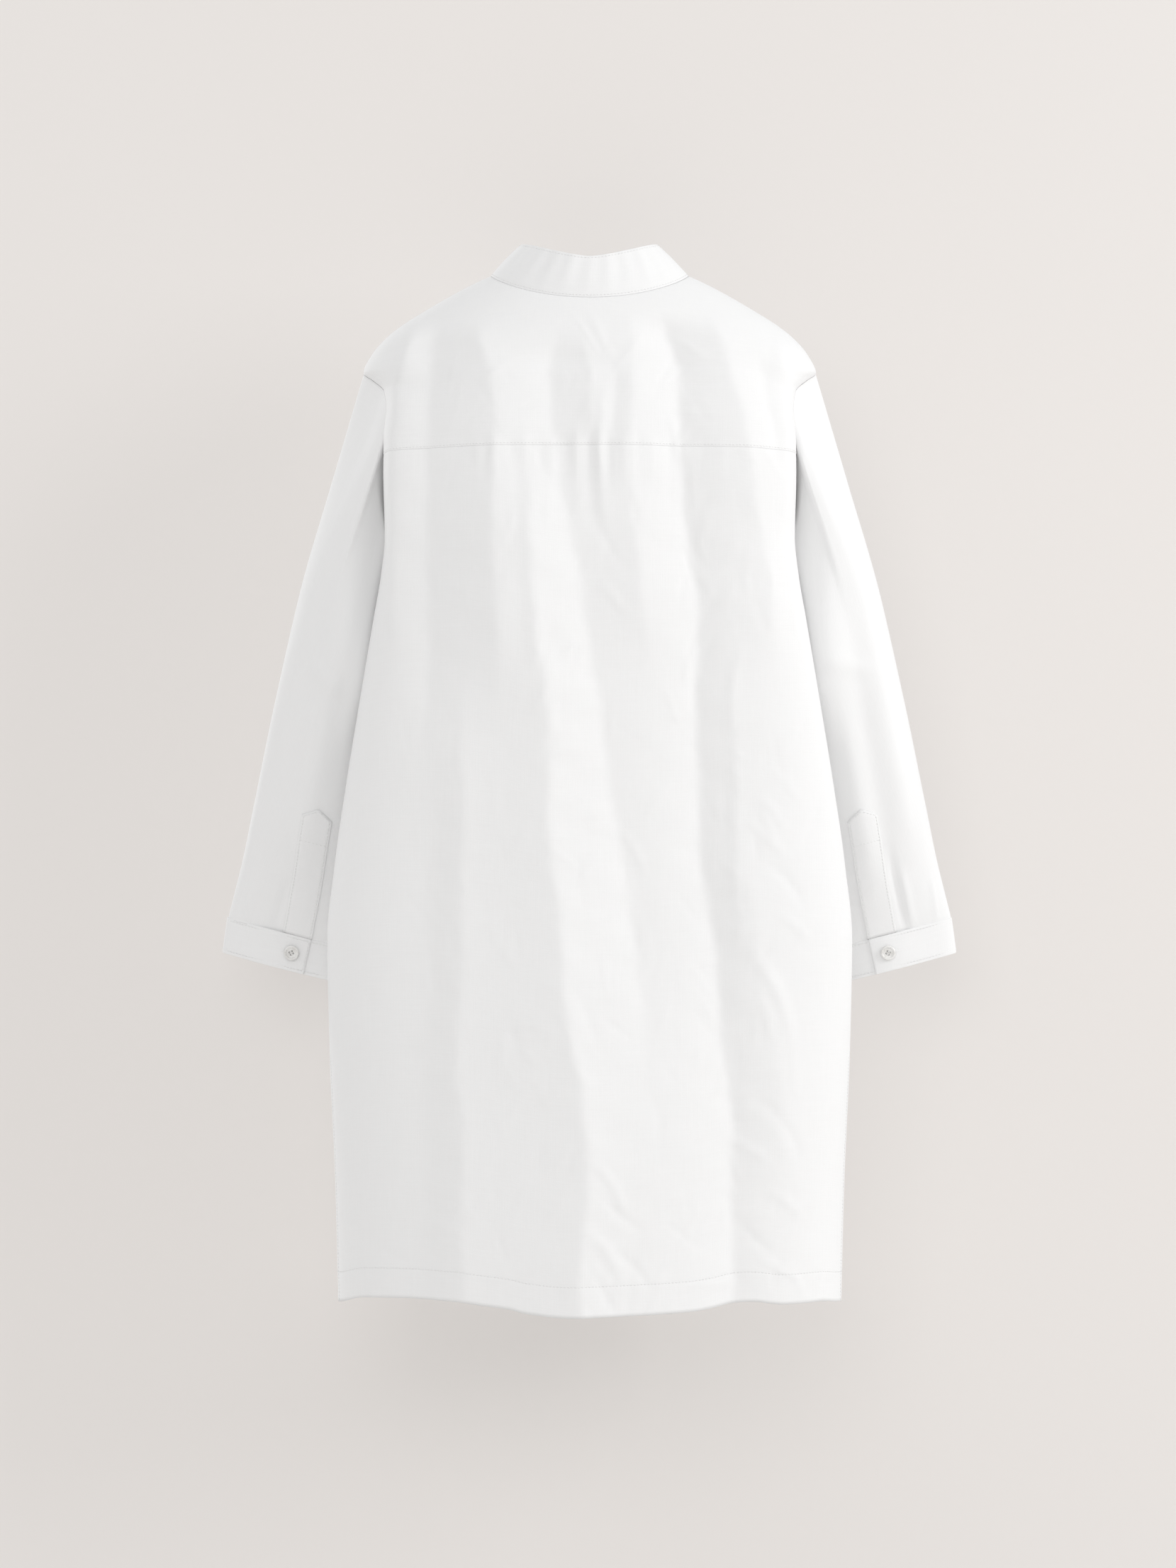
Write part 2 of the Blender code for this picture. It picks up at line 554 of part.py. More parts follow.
def add_button(name, place, facing):
    """A button seated at a place, facing the way given."""
    mesh = button_mesh()
    made = add_object(name, mesh, PEARL_WHITE, 0.25)
    turn = Vector(facing).to_track_quat("Z", "Y").to_matrix().to_4x4()
    made.matrix_world = Matrix.Translation(Vector(place)) @ turn
    return made


def seat(surface, u, v, out):
    """A button's seat: a place lifted off a surface, and the way it faces."""
    u, v = np.array(float(u)), np.array(float(v))
    low, high = lifted(surface, u, v, out), lifted(surface, u, v, out + 0.01)
    return low, (high - low) / 0.01


def make_cuff_button(name, side):
    place, facing = seat(cuff, cuff_turn(CUFF_BUTTON_PLACE), CUFF_HEIGHT / 2, 2 * GAP)
    if side < 0:
        place, facing = mirrored(place), mirrored(facing)
    add_button(name, place, facing)


def make_front_buttons():
    """The collar's button and the placket's, on the centre line, clear of the cloth below."""
    stand_off = GAP + CLOTH + 2 * GAP
    spacing = (SLIT_END_Z + NECK_DROP_FRONT) / (PLACKET_BUTTONS + PLACKET_SPARE)
    for number in range(PLACKET_BUTTONS):
        z = -NECK_DROP_FRONT + spacing * (number + PLACKET_FIRST)
        place, facing = seat(body, math.pi, z, stand_off)
        add_button("placket_button_%d" % (number + 1), place, facing)
    low, middle, high = collar_points(np.array(math.pi - 1e-6), np.array((0.0, 0.5, 1.0)))
    facing = np.cross((1.0, 0.0, 0.0), high - low)
    facing /= np.linalg.norm(facing)
    add_button("collar_button", middle + facing * 2 * GAP, facing)


for old in list(bpy.data.objects):
    bpy.data.objects.remove(old)

TUNIC = bpy.data.collections.new("tunic_top")
bpy.context.scene.collection.children.link(TUNIC)

make_back()
make_front()
make_placket()
make_collar()
for side_name, side_sign in (("left", 1), ("right", -1)):
    make_sleeve("sleeve_" + side_name, side_sign)
    make_sleeve_strip("sleeve_placket_" + side_name, side_sign)
    make_cuff("cuff_" + side_name, side_sign)
    make_cuff_button("cuff_button_" + side_name, side_sign)
make_front_buttons()
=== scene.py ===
"""The looks of a long white linen tunic top, filled out with no wearer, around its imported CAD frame.

Metres, +Z up, the wearer faces -Y and +X is the wearer's left. The cloth is built on the same body
rings and sleeve rings as the CAD, on finer grids, with the folds, creases, seams and stitches added.
"""
import math
from collections import namedtuple
from functools import partial

import bmesh
import bpy
import numpy as np
from mathutils import Matrix, Vector


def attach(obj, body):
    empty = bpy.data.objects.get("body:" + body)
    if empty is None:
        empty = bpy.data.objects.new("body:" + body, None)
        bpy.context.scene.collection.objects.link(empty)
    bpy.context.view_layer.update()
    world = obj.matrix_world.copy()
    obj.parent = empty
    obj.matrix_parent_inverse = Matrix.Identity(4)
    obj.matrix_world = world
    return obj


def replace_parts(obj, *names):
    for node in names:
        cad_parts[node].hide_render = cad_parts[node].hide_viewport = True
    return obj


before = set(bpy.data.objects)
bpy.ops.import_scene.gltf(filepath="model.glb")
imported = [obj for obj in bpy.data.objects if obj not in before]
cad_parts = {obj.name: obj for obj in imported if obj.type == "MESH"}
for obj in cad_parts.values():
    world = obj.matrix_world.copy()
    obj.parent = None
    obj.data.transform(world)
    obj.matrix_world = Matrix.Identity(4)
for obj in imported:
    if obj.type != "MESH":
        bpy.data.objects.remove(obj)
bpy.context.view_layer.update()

# The body's tables give lengths in millimetres. All other lengths are metres.
MM = 0.001

# The cloth's thickness, and the clearance between cloth that lies on cloth
CLOTH = 0.0008
DOUBLE = 0.0014
CAD_CLOTH = 0.0012
GAP = 0.0003

# Heights of the body
HEM_Z = -0.9245
VENT_TOP_Z = -0.713
UNDERARM_Z = -0.275
TIP_Z = -0.0885
YOKE_SEAM_Z = -0.167
YOKE_SEAM_RISE = 0.005
SLIT_END_Z = -0.345
STRIP_END_Z = -0.357

# The neckline and the collar band
NECK_HALF = 0.0895
NECK_DROP_BACK = 0.027
NECK_DROP_FRONT = 0.075
NECK_CURVE = 1.4
COLLAR_TOP_HALF = 0.062
COLLAR_TOP_BACK_Y = 0.048
COLLAR_TOP_FRONT_Y = 0.060
COLLAR_TOP_SIDE_Z = 0.028
COLLAR_TOP_BACK_Z = 0.011
COLLAR_TOP_FRONT_Z = -0.039
COLLAR_CURVE = 1.5
COLLAR_STEP = 0.0015
COLLAR_HEIGHT = 0.037

# The front placket
SLIT_HALF = 0.0125
STRIP_HALF = 0.0145
PLACKET_BUTTONS = 3
PLACKET_FIRST = 0.8
PLACKET_SPARE = 0.6
SLIT_STITCH = 0.004

# The armhole: how far its underarm point, back edge and front edge swing forward of the side line
UNDERARM_SWING = math.radians(18)
BACK_EDGE_SWING = math.radians(-7)
FRONT_EDGE_SWING = math.radians(21)
VENT_SPREAD_BACK = math.radians(-0.7)
VENT_SPREAD_FRONT = math.radians(4)

# The left sleeve's straight outer line, the cuff and the sleeve placket
SLEEVE_START = np.array((0.2045, 0.0, -0.0885))
SLEEVE_END = np.array((0.332, 0.0, -0.5818))
ARMHOLE_EASE = 0.4
SLEEVE_ROUND = 0.74
CUFF_END_ROUND = 0.90
CUFF_HEIGHT = 0.033
CUFF_HALF = 0.0565
CUFF_HALF_DEPTH = 0.0142
CUFF_TAPER = 0.002
CUFF_OVERLAP_EDGE = -0.0245
CUFF_BUTTON_PLACE = -0.009
SLEEVE_STRIP_WIDTH = 0.027
SLEEVE_STRIP_LENGTH = 0.118
SLEEVE_STRIP_POINT = 0.008
SLEEVE_BOX_HEIGHT = 0.023
SLEEVE_CUT = 0.45
CUFF_TUCK = 0.0015

# The buttons
BUTTON_RADIUS = 0.00675
BUTTON_THICK = 0.0026
BUTTON_RIM_RISE = 0.0009
BUTTON_RIM_HALF = 0.0011
BUTTON_HOLE_RADIUS = 0.00085
BUTTON_HOLE_PLACE = 0.0017
BUTTON_LANE = 0.0002
BUTTONHOLE_BACK = 0.0075
BUTTONHOLE_AHEAD = 0.0105
BUTTONHOLE_HALF = 0.009
BUTTONHOLE_PITCH = 0.00055
BUTTONHOLE_LIP = 0.0017

# Sewing
HEM_DEPTH = 0.027
VENT_DEPTH = 0.017
VENT_BAR = 0.010
EDGE_STITCH = 0.0018
CUFF_STITCH = 1.6 * EDGE_STITCH
SEAM_ROLL = 0.00020
SEAM_ROLL_WIDTH = 0.0013
STITCH_DIP = 0.00011
STITCH_DIP_WIDTH = 0.0012
STITCH_PITCH = 0.0031
STITCH_LENGTH = 0.0024
STITCH_WIDTH = 0.00055
FOLDED_EDGE_WIDTH = 0.0010
TOPSTITCH_WIDTH = 0.0008
HEM_FOLD_THICK = 0.0006
HEM_FOLD_GAP = 0.00012
VENT_FOLD_THICK = 0.0005
VENT_FOLD_GAP = 0.00075

# Grid steps: the body's and sleeves', and the narrow pieces'
FINE_STEP = 0.0033
TRIM_STEP = 0.003

# The body's level rings, as in the CAD
Ring = namedtuple("Ring", "z half back front side_y back_round front_round")
RINGS = [Ring(*(MM * size for size in row[:5]), *row[5:]) for row in (
    (0, 89.5, 34, 30, 0, 0.95, 0.95),
    (-10, 110, 44, 36, 0, 0.92, 0.92),
    (-21, 130, 53, 42, 0, 0.90, 0.88),
    (-33, 150, 61, 47, 0, 0.88, 0.84),
    (-45, 169, 67, 52, 0, 0.85, 0.80),
    (-57, 184, 72, 57, 0, 0.82, 0.76),
    (-72, 197, 77, 63, 0, 0.80, 0.72),
    (-88.5, 204.5, 82, 70, 0, 0.78, 0.68),
    (-96, 196, 85, 73, 8, 0.77, 0.66),
    (-107, 185, 88, 78, 22, 0.76, 0.64),
    (-125, 182, 92, 84, 36, 0.75, 0.62),
    (-150, 184, 97, 91, 42, 0.74, 0.60),
    (-180, 184, 101, 98, 46, 0.73, 0.60),
    (-240, 182.5, 104, 107, 50, 0.72, 0.68),
    (-275, 186, 105, 110, 50, 0.72, 0.82),
    (-310, 192, 106, 110, 50, 0.72, 1.12),
    (-380, 204, 106, 108, 47, 0.73, 1.28),
    (-460, 217.5, 105, 106, 40, 0.74, 1.34),
    (-530, 228, 105, 105, 34, 0.75, 1.32),
    (-600, 235, 106, 104, 30, 0.76, 1.24),
    (-700, 233.5, 108, 103, 22, 0.78, 1.10),
    (-820, 229, 110, 102, 14, 0.80, 1.00),
    (-930, 226.5, 112, 102, 10, 0.82, 0.95),
)]

# The body's folds: a line of x, z points from top to bottom, with a crest this sharp, flanks that reach
# this far to the wearer's left (plus) and right (minus), and a height: above 0 a ridge, below 0 a trough.
# They fade in and out over the lengths given.
BACK, FRONT = 1, -1
Fold = namedtuple("Fold", "face crest plus minus height fade_in fade_out line")
FOLDS = [Fold(face, *(MM * size for size in sizes), [(MM * x, MM * z) for x, z in line])
         for face, *sizes, line in (
    # the raised edge of the back on the wearer's left, and the trough beside it
    (BACK, 3, 16, 18, 6.2, 30, 140,
         ((156, -35), (159, -58), (170, -109), (172, -200), (170, -380))),
    (BACK, 3.5, 24, 40, -7.6, 40, 160,
         ((136, -35), (140, -60), (143, -110), (145.5, -200), (142, -295), (145, -470))),
    (BACK, 10, 46, 34, -5.6, 150, 50,
         ((141, -380), (138, -480), (141, -600), (150, -1000))),
    # the ridge from the left shoulder blade
    (BACK, 3, 42, 38, 6.4, 30, 120,
         ((92, -40), (97.5, -58), (83.5, -109), (82.5, -200), (79, -330), (76, -420))),
    (BACK, 6, 14, 20, -1.8, 50, 80,
         ((62, -140), (60, -230), (56, -380))),
    # the lower left ridge
    (BACK, 3, 60, 24, 5.2, 160, 50,
         ((108, -330), (111, -480), (111.5, -590), (116, -680), (111.5, -780),
          (111, -1000))),
    # the main ridge, from beside the centre pleat down to the middle of the hem
    (BACK, 2.8, 74, 38, 11.2, 100, 50,
         ((54, -150), (52, -200), (50, -295), (36, -392), (35, -488),
          (26, -584), (17, -680), (6, -740), (1, -790), (8, -873),
          (4, -1000))),
    # the trough between the centre and the broad right ridge
    (BACK, 3.5, 28, 54, -7.2, 40, 220,
         ((24, -50), (36, -109), (24, -199), (6, -295), (-9, -392),
          (-23.5, -488), (-38.5, -584), (-49, -690), (-52, -780))),
    # the centre of the yoke and the centre pleat
    (BACK, 2.5, 16, 18, 2.2, 30, 40, ((6, -50), (1, -109), (-1, -170))),
    (BACK, 2, 8, 10, -1.6, 30, 40, ((-20, -80), (-22, -130), (-21, -180))),
    (BACK, 1.4, 6, 7, -1, 30, 30, ((-3, -130), (-4, -180), (-6, -250))),
    (BACK, 1.4, 6, 7, 1.1, 30, 30, ((-11, -100), (-11, -160), (-14, -245))),
    # the ridge right of centre, broad lower down, and the deep trough beside it
    (BACK, 3, 30, 44, 5.2, 30, 100,
         ((-37.5, -35), (-37.5, -200), (-47, -295), (-55, -380))),
    (BACK, 3.2, 44, 36, -12.5, 30, 50,
         ((-60, -35), (-67.5, -58), (-82, -109), (-83.5, -199), (-98, -295),
          (-98.5, -488), (-110, -584), (-121, -690), (-128.5, -777), (-130, -1000))),
    # the ridge under the right shoulder blade, the dimple by the armhole and the edge beside it
    (BACK, 3, 30, 28, 5.6, 30, 100,
         ((-104, -35), (-113.5, -58), (-128.5, -109), (-143, -199), (-158, -295),
          (-166, -380))),
    (BACK, 3, 11, 13, -3.4, 30, 40, ((-150, -70), (-158, -126), (-169, -195))),
    (BACK, 3, 26, 12, 4.6, 30, 60, ((-166, -50), (-173, -120), (-177, -250))),
    # the pocket bag behind the right side, and the lower right
    (BACK, 1.4, 6, 8, 1.3, 30, 40, ((-127.5, -350), (-130, -460), (-132, -610))),
    (BACK, 5, 30, 26, 3, 80, 100,
         ((-134, -480), (-146, -600), (-168, -720), (-176, -860))),
    # the front, plainer
    (FRONT, 6, 40, 50, 7, 100, 50, ((60, -130), (68, -480), (90, -1000))),
    (FRONT, 6, 32, 40, -6.8, 60, 50, ((112, -80), (110, -300), (128, -1000))),
    (FRONT, 7, 36, 30, -5, 120, 50, ((28, -380), (36, -650), (48, -1000))),
    (FRONT, 6, 44, 36, 6.2, 100, 50, ((-52, -160), (-64, -520), (-70, -1000))),
    (FRONT, 6, 34, 36, -6.8, 60, 50, ((-98, -70), (-106, -330), (-118, -1000))),
    (FRONT, 7, 30, 36, 4.6, 100, 50, ((-138, -330), (-142, -500), (-150, -1000))),
    (FRONT, 6, 26, 30, 3, 100, 100, ((8, -400), (4, -600), (10, -800))),
    (FRONT, 5, 20, 24, -2.6, 80, 100, ((-30, -420), (-26, -600), (-34, -860))),
)]

# The hem's level along the back: x, and how far the hem is drawn up there.
HemLift = namedtuple("HemLift", "x up")
HEM_LIFTS = [HemLift(MM * x, MM * up) for x, up in (
    (-226, 1), (-205, 5.5), (-175, 5.5), (-145, 9),
    (-128, 8), (-110, 5), (-90, 2.8), (-40, 1),
    (20, 0), (54, 3), (70, 6.5), (95, 9.5),
    (117, 12), (155, 12.5), (200, 10), (226, 0.5),
)]
HEM_LIFT_REACH = 0.16

# Short creases and crumples: from one point to another as x, z, with a sideways bow at the middle.
Crease = namedtuple("Crease", "face x0 z0 x1 z1 bow half_width height")
CREASES = [Crease(face, *(MM * size for size in sizes)) for face, *sizes in (
    # the diagonal that turns out from the right ridge, and the soft shade low on the left
    (BACK, -146, -610, -178, -690, 6, 5.8, 1.44),
    (BACK, 140, -690, 205, -722, -4, 7.2, -0.96),
    # the crumples by the hem, right of the middle
    (BACK, -4, -790, -30, -835, 4, 4, 0.96),
    (BACK, -12, -820, -46, -850, -3, 3.6, -0.84),
    (BACK, 2, -850, -26, -892, 5, 4.3, 1.08),
    (BACK, -22, -868, -52, -902, 3, 3.6, -0.84),
    (BACK, -6, -885, -22, -922, -2, 3.2, -0.78),
    # the right side, at hip height and lower down
    (BACK, -150, -470, -172, -500, 2, 4, 0.72),
    (BACK, -158, -530, -190, -570, 4, 4.3, -0.84),
    (BACK, -168, -575, -196, -600, 2, 3.6, 0.72),
    (BACK, -120, -770, -160, -795, 3, 4.3, 0.72),
    (BACK, -152, -740, -186, -790, 5, 4.7, -0.84),
    (BACK, -160, -820, -192, -850, 3, 4, 0.78),
    (BACK, -136, -850, -166, -880, -3, 4, -0.72),
    (BACK, -150, -885, -188, -905, 2, 3.2, 0.66),
    # small ones across the waist
    (BACK, 30, -360, 52, -400, 2, 3.6, 0.6),
    (BACK, -4, -455, 30, -470, 3, 4.3, -0.6),
    (BACK, -28, -500, -50, -540, 2, 3.6, 0.6),
    (BACK, 60, -560, 95, -575, 2, 5, -0.6),
    # the front
    (FRONT, 90, -150, 150, -235, 8, 10, -2.4),
    (FRONT, -88, -155, -146, -240, -8, 10, -2.4),
    (FRONT, 20, -372, 58, -420, 4, 7, 1.4),
    (FRONT, -20, -370, -50, -430, 4, 7, 1.4),
    (FRONT, 110, -560, 150, -600, 4, 8, -1.4),
    (FRONT, -100, -640, -146, -670, 4, 8, 1.4),
    (FRONT, 20, -760, 56, -800, 4, 6, 1.4),
    (FRONT, -30, -830, -64, -880, 4, 6, -1.4),
)]

# Small crumples all over, placed by a seeded draw: how many on each face, and the ranges of their
# lengths, half widths and heights.
CRUMPLES = 520
CRUMPLE_SEED = 11
CRUMPLE_LENGTH = (0.010, 0.044)
CRUMPLE_HALF_WIDTH = (0.0016, 0.0044)
CRUMPLE_HEIGHT = (0.00010, 0.00062)
# How far folds waver from their lines
WAVER = 0.0011

# Puckers along the yoke seam: x, reach above and below the seam, half width and height.
Pucker = namedtuple("Pucker", "x above below half_width height")
PUCKERS = [Pucker(*(MM * size for size in row)) for row in (
    (98, 6, 20, 4, 0.52),
    (84, 10, 30, 4.5, 0.75),
    (69, 6, 18, 3.8, -0.6),
    (57, 12, 26, 4, 0.75),
    (44, 8, 22, 3.6, -0.68),
    (33, 10, 34, 4.2, 0.82),
    (21, 6, 20, 3.6, -0.68),
    (12, 14, 40, 3.2, 0.9),
    (1, 10, 44, 3, -0.97),
    (-8, 18, 50, 3, 1.05),
    (-17, 16, 36, 3, -0.9),
    (-30, 8, 26, 3.8, 0.68),
    (-43, 12, 30, 4, -0.68),
    (-56, 8, 22, 4, 0.6),
    (-72, 10, 26, 4.4, -0.68),
    (-86, 12, 30, 4, 0.68),
    (-101, 8, 20, 4.4, -0.6),
    (-117, 6, 22, 4.4, 0.52),
)]

# The left sleeve's rings, as in the CAD
SleeveRing = namedtuple("SleeveRing", "along bow half mid_y half_depth")
SLEEVE_RINGS = [SleeveRing(*row) for row in (
    (0.00, 0.000, 0.0480, -0.010, 0.052),
    (0.20, 0.004, 0.0485, -0.014, 0.058),
    (0.40, 0.008, 0.0485, -0.022, 0.059),
    (0.60, 0.006, 0.0490, -0.030, 0.052),
    (0.80, 0.002, 0.0510, -0.038, 0.038),
    (0.92, 0.000, 0.0535, -0.043, 0.023),
    (1.00, 0.000, 0.0555, -0.045, 0.0135),
)]

# The sleeves' folds. Their turn and drift are degrees from the outer line, over the back, at the fold's top
# and how far it wanders by its foot. side: +1 is the wearer's left sleeve.
SleeveFold = namedtuple("SleeveFold", "side turn drift top low half_turn height")
SLEEVE_FOLDS = [SleeveFold(*row) for row in (
    (1, 102, 0, 0.04, 0.62, 25, 0.0085),
    (1, 120, 0, 0.14, 0.68, 13, 0.0070),
    (1, 58, 10, 0.12, 0.82, 15, -0.0020),
    (1, 96, -6, 0.30, 0.95, 12, 0.0018),
    (1, 24, 4, 0.45, 0.97, 10, 0.0012),
    (1, 218, 0, 0.26, 0.92, 24, -0.0050),
    (1, 292, -8, 0.25, 0.88, 18, -0.0040),
    (1, 322, 6, 0.15, 0.80, 14, 0.0024),
    (-1, 102, 0, 0.04, 0.62, 25, 0.0085),
    (-1, 120, 0, 0.14, 0.68, 13, 0.0070),
    (-1, 30, 8, 0.05, 0.78, 12, -0.0022),
    (-1, 52, 4, 0.04, 0.90, 11, 0.0016),
    (-1, 78, 6, 0.10, 0.94, 13, -0.0024),
    (-1, 105, -4, 0.34, 0.97, 11, 0.0022),
    (-1, 218, 0, 0.26, 0.92, 24, -0.0052),
    (-1, 300, -6, 0.32, 0.90, 16, -0.0040),
    (-1, 330, 4, 0.12, 0.78, 12, 0.0026),
)]
# Short creases on a sleeve: turn in degrees and share of its length, at both ends.
SleeveCrease = namedtuple("SleeveCrease", "side turn0 along0 turn1 along1 half_width height")
SLEEVE_CREASES = [SleeveCrease(*row) for row in (
    (1, 84, 0.905, 78, 0.995, 0.0045, -0.0016),
    (-1, 80, 0.850, 77, 0.998, 0.0042, -0.0026),
    (-1, 72, 0.890, 72, 0.998, 0.0040, 0.0016),
    (1, 40, 0.930, 46, 0.998, 0.0040, 0.0010),
    (-1, 36, 0.920, 42, 0.998, 0.0040, 0.0010),
    (1, 62, 0.520, 100, 0.560, 0.0080, 0.0016),
    (1, 150, 0.500, 200, 0.560, 0.0080, -0.0022),
    (-1, 60, 0.540, 110, 0.500, 0.0080, 0.0016),
    (-1, 160, 0.520, 205, 0.560, 0.0080, -0.0022),
    (1, 280, 0.480, 330, 0.540, 0.0080, 0.0020),
    (-1, 275, 0.560, 325, 0.500, 0.0080, 0.0020),
    (1, 270, 0.900, 276, 0.998, 0.0045, -0.0016),
    (-1, 262, 0.910, 268, 0.998, 0.0045, -0.0016),
)]

# Linear colours and surface values
THREAD_PITCH = 0.00062
LINEN_WHITE = (0.86, 0.86, 0.86)
THREAD_WHITE = (0.83, 0.83, 0.825)
PEARL_WHITE = (0.80, 0.79, 0.765)
PEARL_DARK = (0.70, 0.69, 0.665)
PEARL_LIGHT = (0.86, 0.855, 0.84)
BACKDROP_GREY = (0.573, 0.550, 0.533)
BACKDROP_GLOW = (0.229, 0.220, 0.2125)
FLOOR_GREY = (0.78, 0.765, 0.75)


# ---- Numbers and curves


def smooth(rows, column, at):
    """A table's column at a key, on a curve through its rows that never overshoots them."""
    rows = sorted(rows)
    keys = np.array([row[0] for row in rows])
    values = np.array([getattr(row, column) for row in rows])
    steps = np.diff(keys)
    rates = np.diff(values) / steps
    both = rates[:-1] * rates[1:]
    total = np.where(both > 0, rates[:-1] + rates[1:], 1.0)
    slopes = np.concatenate([rates[:1], np.where(both > 0, 2 * both / total, 0.0), rates[-1:]])
    at = np.clip(at, keys[0], keys[-1])
    i = np.clip(np.searchsorted(keys, at, side="right") - 1, 0, len(steps) - 1)
    t = (at - keys[i]) / steps[i]
    start = (1 + 2 * t) * (1 - t) ** 2 * values[i] + t * (1 - t) ** 2 * steps[i] * slopes[i]
    end = t * t * (3 - 2 * t) * values[i + 1] + t * t * (t - 1) * steps[i] * slopes[i + 1]
    return start + end


def ramp(value, low, high):
    """0 below low, 1 above high, and a soft step between them."""
    t = np.clip((value - low) / (high - low), 0.0, 1.0)
    return t * t * (3 - 2 * t)


def stack(x, y, z):
    return np.stack(np.broadcast_arrays(x, y, z), axis=-1).astype(float)


def through(points, at):
    """x on a smooth line through (x, z) points, at heights z."""
    row = namedtuple("Row", "z x")
    return smooth([row(z, x) for x, z in points], "x", at)


def bump(distance, half_width):
    """A soft ridge's height, as a share, at a distance across its line."""
    return np.exp(-((distance / half_width) ** 2))


def crest(distance, sharp, plus, minus):
    """A ridge's height across its line: a narrow crest, and flanks of the two reaches."""
    far = np.hypot(distance, sharp) - sharp
    return np.exp(-far / np.where(distance > 0, plus, minus))


def crease(u, v, along_u, along_v, half_width, height, bow=0.0, low_taper=0.35):
    """A short crease's height at offsets u, v from its start. It runs to along_u, along_v."""
    length = np.hypot(along_u, along_v)
    t = (u * along_u + v * along_v) / length**2
    across = (u * along_v - v * along_u) / length
    inside = np.clip(t, 0, 1)
    taper = ramp(t, -0.15, 0.35) * ramp(1 - t, -0.15, low_taper)
    return height * taper * bump(across - bow * 4 * inside * (1 - inside), half_width)


def waver(x, z):
    """How far the folds' lines stray at x, z."""
    return WAVER * (np.sin(43 * z + 31 * x) + 0.6 * np.sin(129 * z - 83 * x + 1.0)
                    + 0.5 * np.sin(307 * z + 97 * x) * np.sin(37 * z - 55 * x))


def draw_crumples(face):
    """The crumples of a face: arrays of middle x and z, direction, length, half width and height."""
    draw = np.random.default_rng(CRUMPLE_SEED + face)
    x = draw.uniform(-0.21, 0.21, CRUMPLES)
    z = draw.uniform(HEM_Z, -0.06, CRUMPLES)
    turn = draw.normal(0.0, 0.6, CRUMPLES)
    sizes = [draw.uniform(*limits, CRUMPLES)
             for limits in (CRUMPLE_LENGTH, CRUMPLE_HALF_WIDTH, CRUMPLE_HEIGHT)]
    sign = draw.choice((-1.0, 1.0), CRUMPLES)
    return np.stack([x, z, turn, sizes[0], sizes[1], sizes[2] * sign], -1)


def marks(low, high, step, lines=()):
    """Places from low to high, a step apart, and closer about each line."""
    near = (0.0, 0.0007, 0.0015, 0.0026, 0.0042)
    fine = {round(line + side * n, 6) for line in lines for side in (-1, 1) for n in near}
    fine = {f for f in fine if low <= f <= high} | {low, high}
    coarse = np.linspace(low, high, round((high - low) / step) + 1)
    spaced = [c for c in coarse if min(abs(c - f) for f in fine) > 0.4 * step]
    return np.array(sorted([*fine, *spaced]))


# ---- The body's form


CRUMPLE_DRAWS = {face: draw_crumples(face) for face in (BACK, FRONT)}


def crumple_height(face, x, z):
    """How far the small crumples stand out: less on the wearer's left."""
    height = np.zeros(x.shape)
    draws = CRUMPLE_DRAWS[face]
    reach = CRUMPLE_LENGTH[1] + 3 * CRUMPLE_HALF_WIDTH[1]
    inside = [(draws[:, k] > at.min() - reach) & (draws[:, k] < at.max() + reach)
              for k, at in enumerate((x, z))]
    for at_x, at_z, turn, length, half_width, high in draws[inside[0] & inside[1]]:
        u = (x - at_x) * math.sin(turn) + (z - at_z) * math.cos(turn)
        v = (x - at_x) * math.cos(turn) - (z - at_z) * math.sin(turn)
        near = (np.abs(u) < length) & (np.abs(v) < 3 * half_width)
        v = v[near] + half_width * np.sin(u[near] / length * 3)
        height[near] += high * bump(2 * u[near], length) * bump(v, half_width)
    return height * (1.0 - 0.45 * ramp(x, 0.02, 0.10))


def fold_height(face, x, z):
    """How far the folds of one face stand out at x, z."""
    x, z = np.broadcast_arrays(np.asarray(x, float), np.asarray(z, float))
    height = crumple_height(face, x, z)
    strayed = x + waver(x, z)
    for fold in (f for f in FOLDS if f.face == face):
        top, low = fold.line[0][1], fold.line[-1][1]
        fade = ramp(z, low, low + fold.fade_out) * ramp(-z, -top, -top + fold.fade_in)
        height = height + fold.height * fade * crest(strayed - through(fold.line, z), fold.crest,
                                                     fold.plus, fold.minus)
    for c in (c for c in CREASES if c.face == face):
        height = height + crease(x - c.x0, z - c.z0, c.x1 - c.x0, c.z1 - c.z0,
                                 c.half_width, c.height, c.bow)
    if face == BACK:
        seam = YOKE_SEAM_Z + YOKE_SEAM_RISE * (1 - (x / 0.184) ** 2)
        for p in PUCKERS:
            reach = np.where(z > seam, p.above, p.below)
            height = height + p.height * bump(z - seam, reach) * bump(x - p.x, p.half_width)
    return height


def body(angle, z):
    """The body's outer face. angle is 0 at centre back, a quarter turn at the wearer's left side."""
    half, side_y = smooth(RINGS, "half", z), smooth(RINGS, "side_y", z)
    back, front = smooth(RINGS, "back", z), smooth(RINGS, "front", z)
    cos, sin = np.cos(angle), np.sin(angle)
    turn = np.maximum(np.abs(cos), 1e-9)
    behind = (back - side_y) * turn ** smooth(RINGS, "back_round", z)
    before = (front + side_y) * turn ** smooth(RINGS, "front_round", z)
    x = half * sin
    y = side_y + np.where(cos >= 0, behind, -before)
    stand = np.where(cos >= 0, fold_height(BACK, x, z), fold_height(FRONT, x, z)) * ramp(turn, 0.05, 0.4)
    facing = np.hypot(sin / half, cos / back)
    up = smooth(HEM_LIFTS, "up", x) * ramp(-z, -HEM_Z - HEM_LIFT_REACH, -HEM_Z) * ramp(cos, 0.0, 0.2)
    return stack(x + stand * sin / half / facing, y + stand * cos / back / facing, z + up)


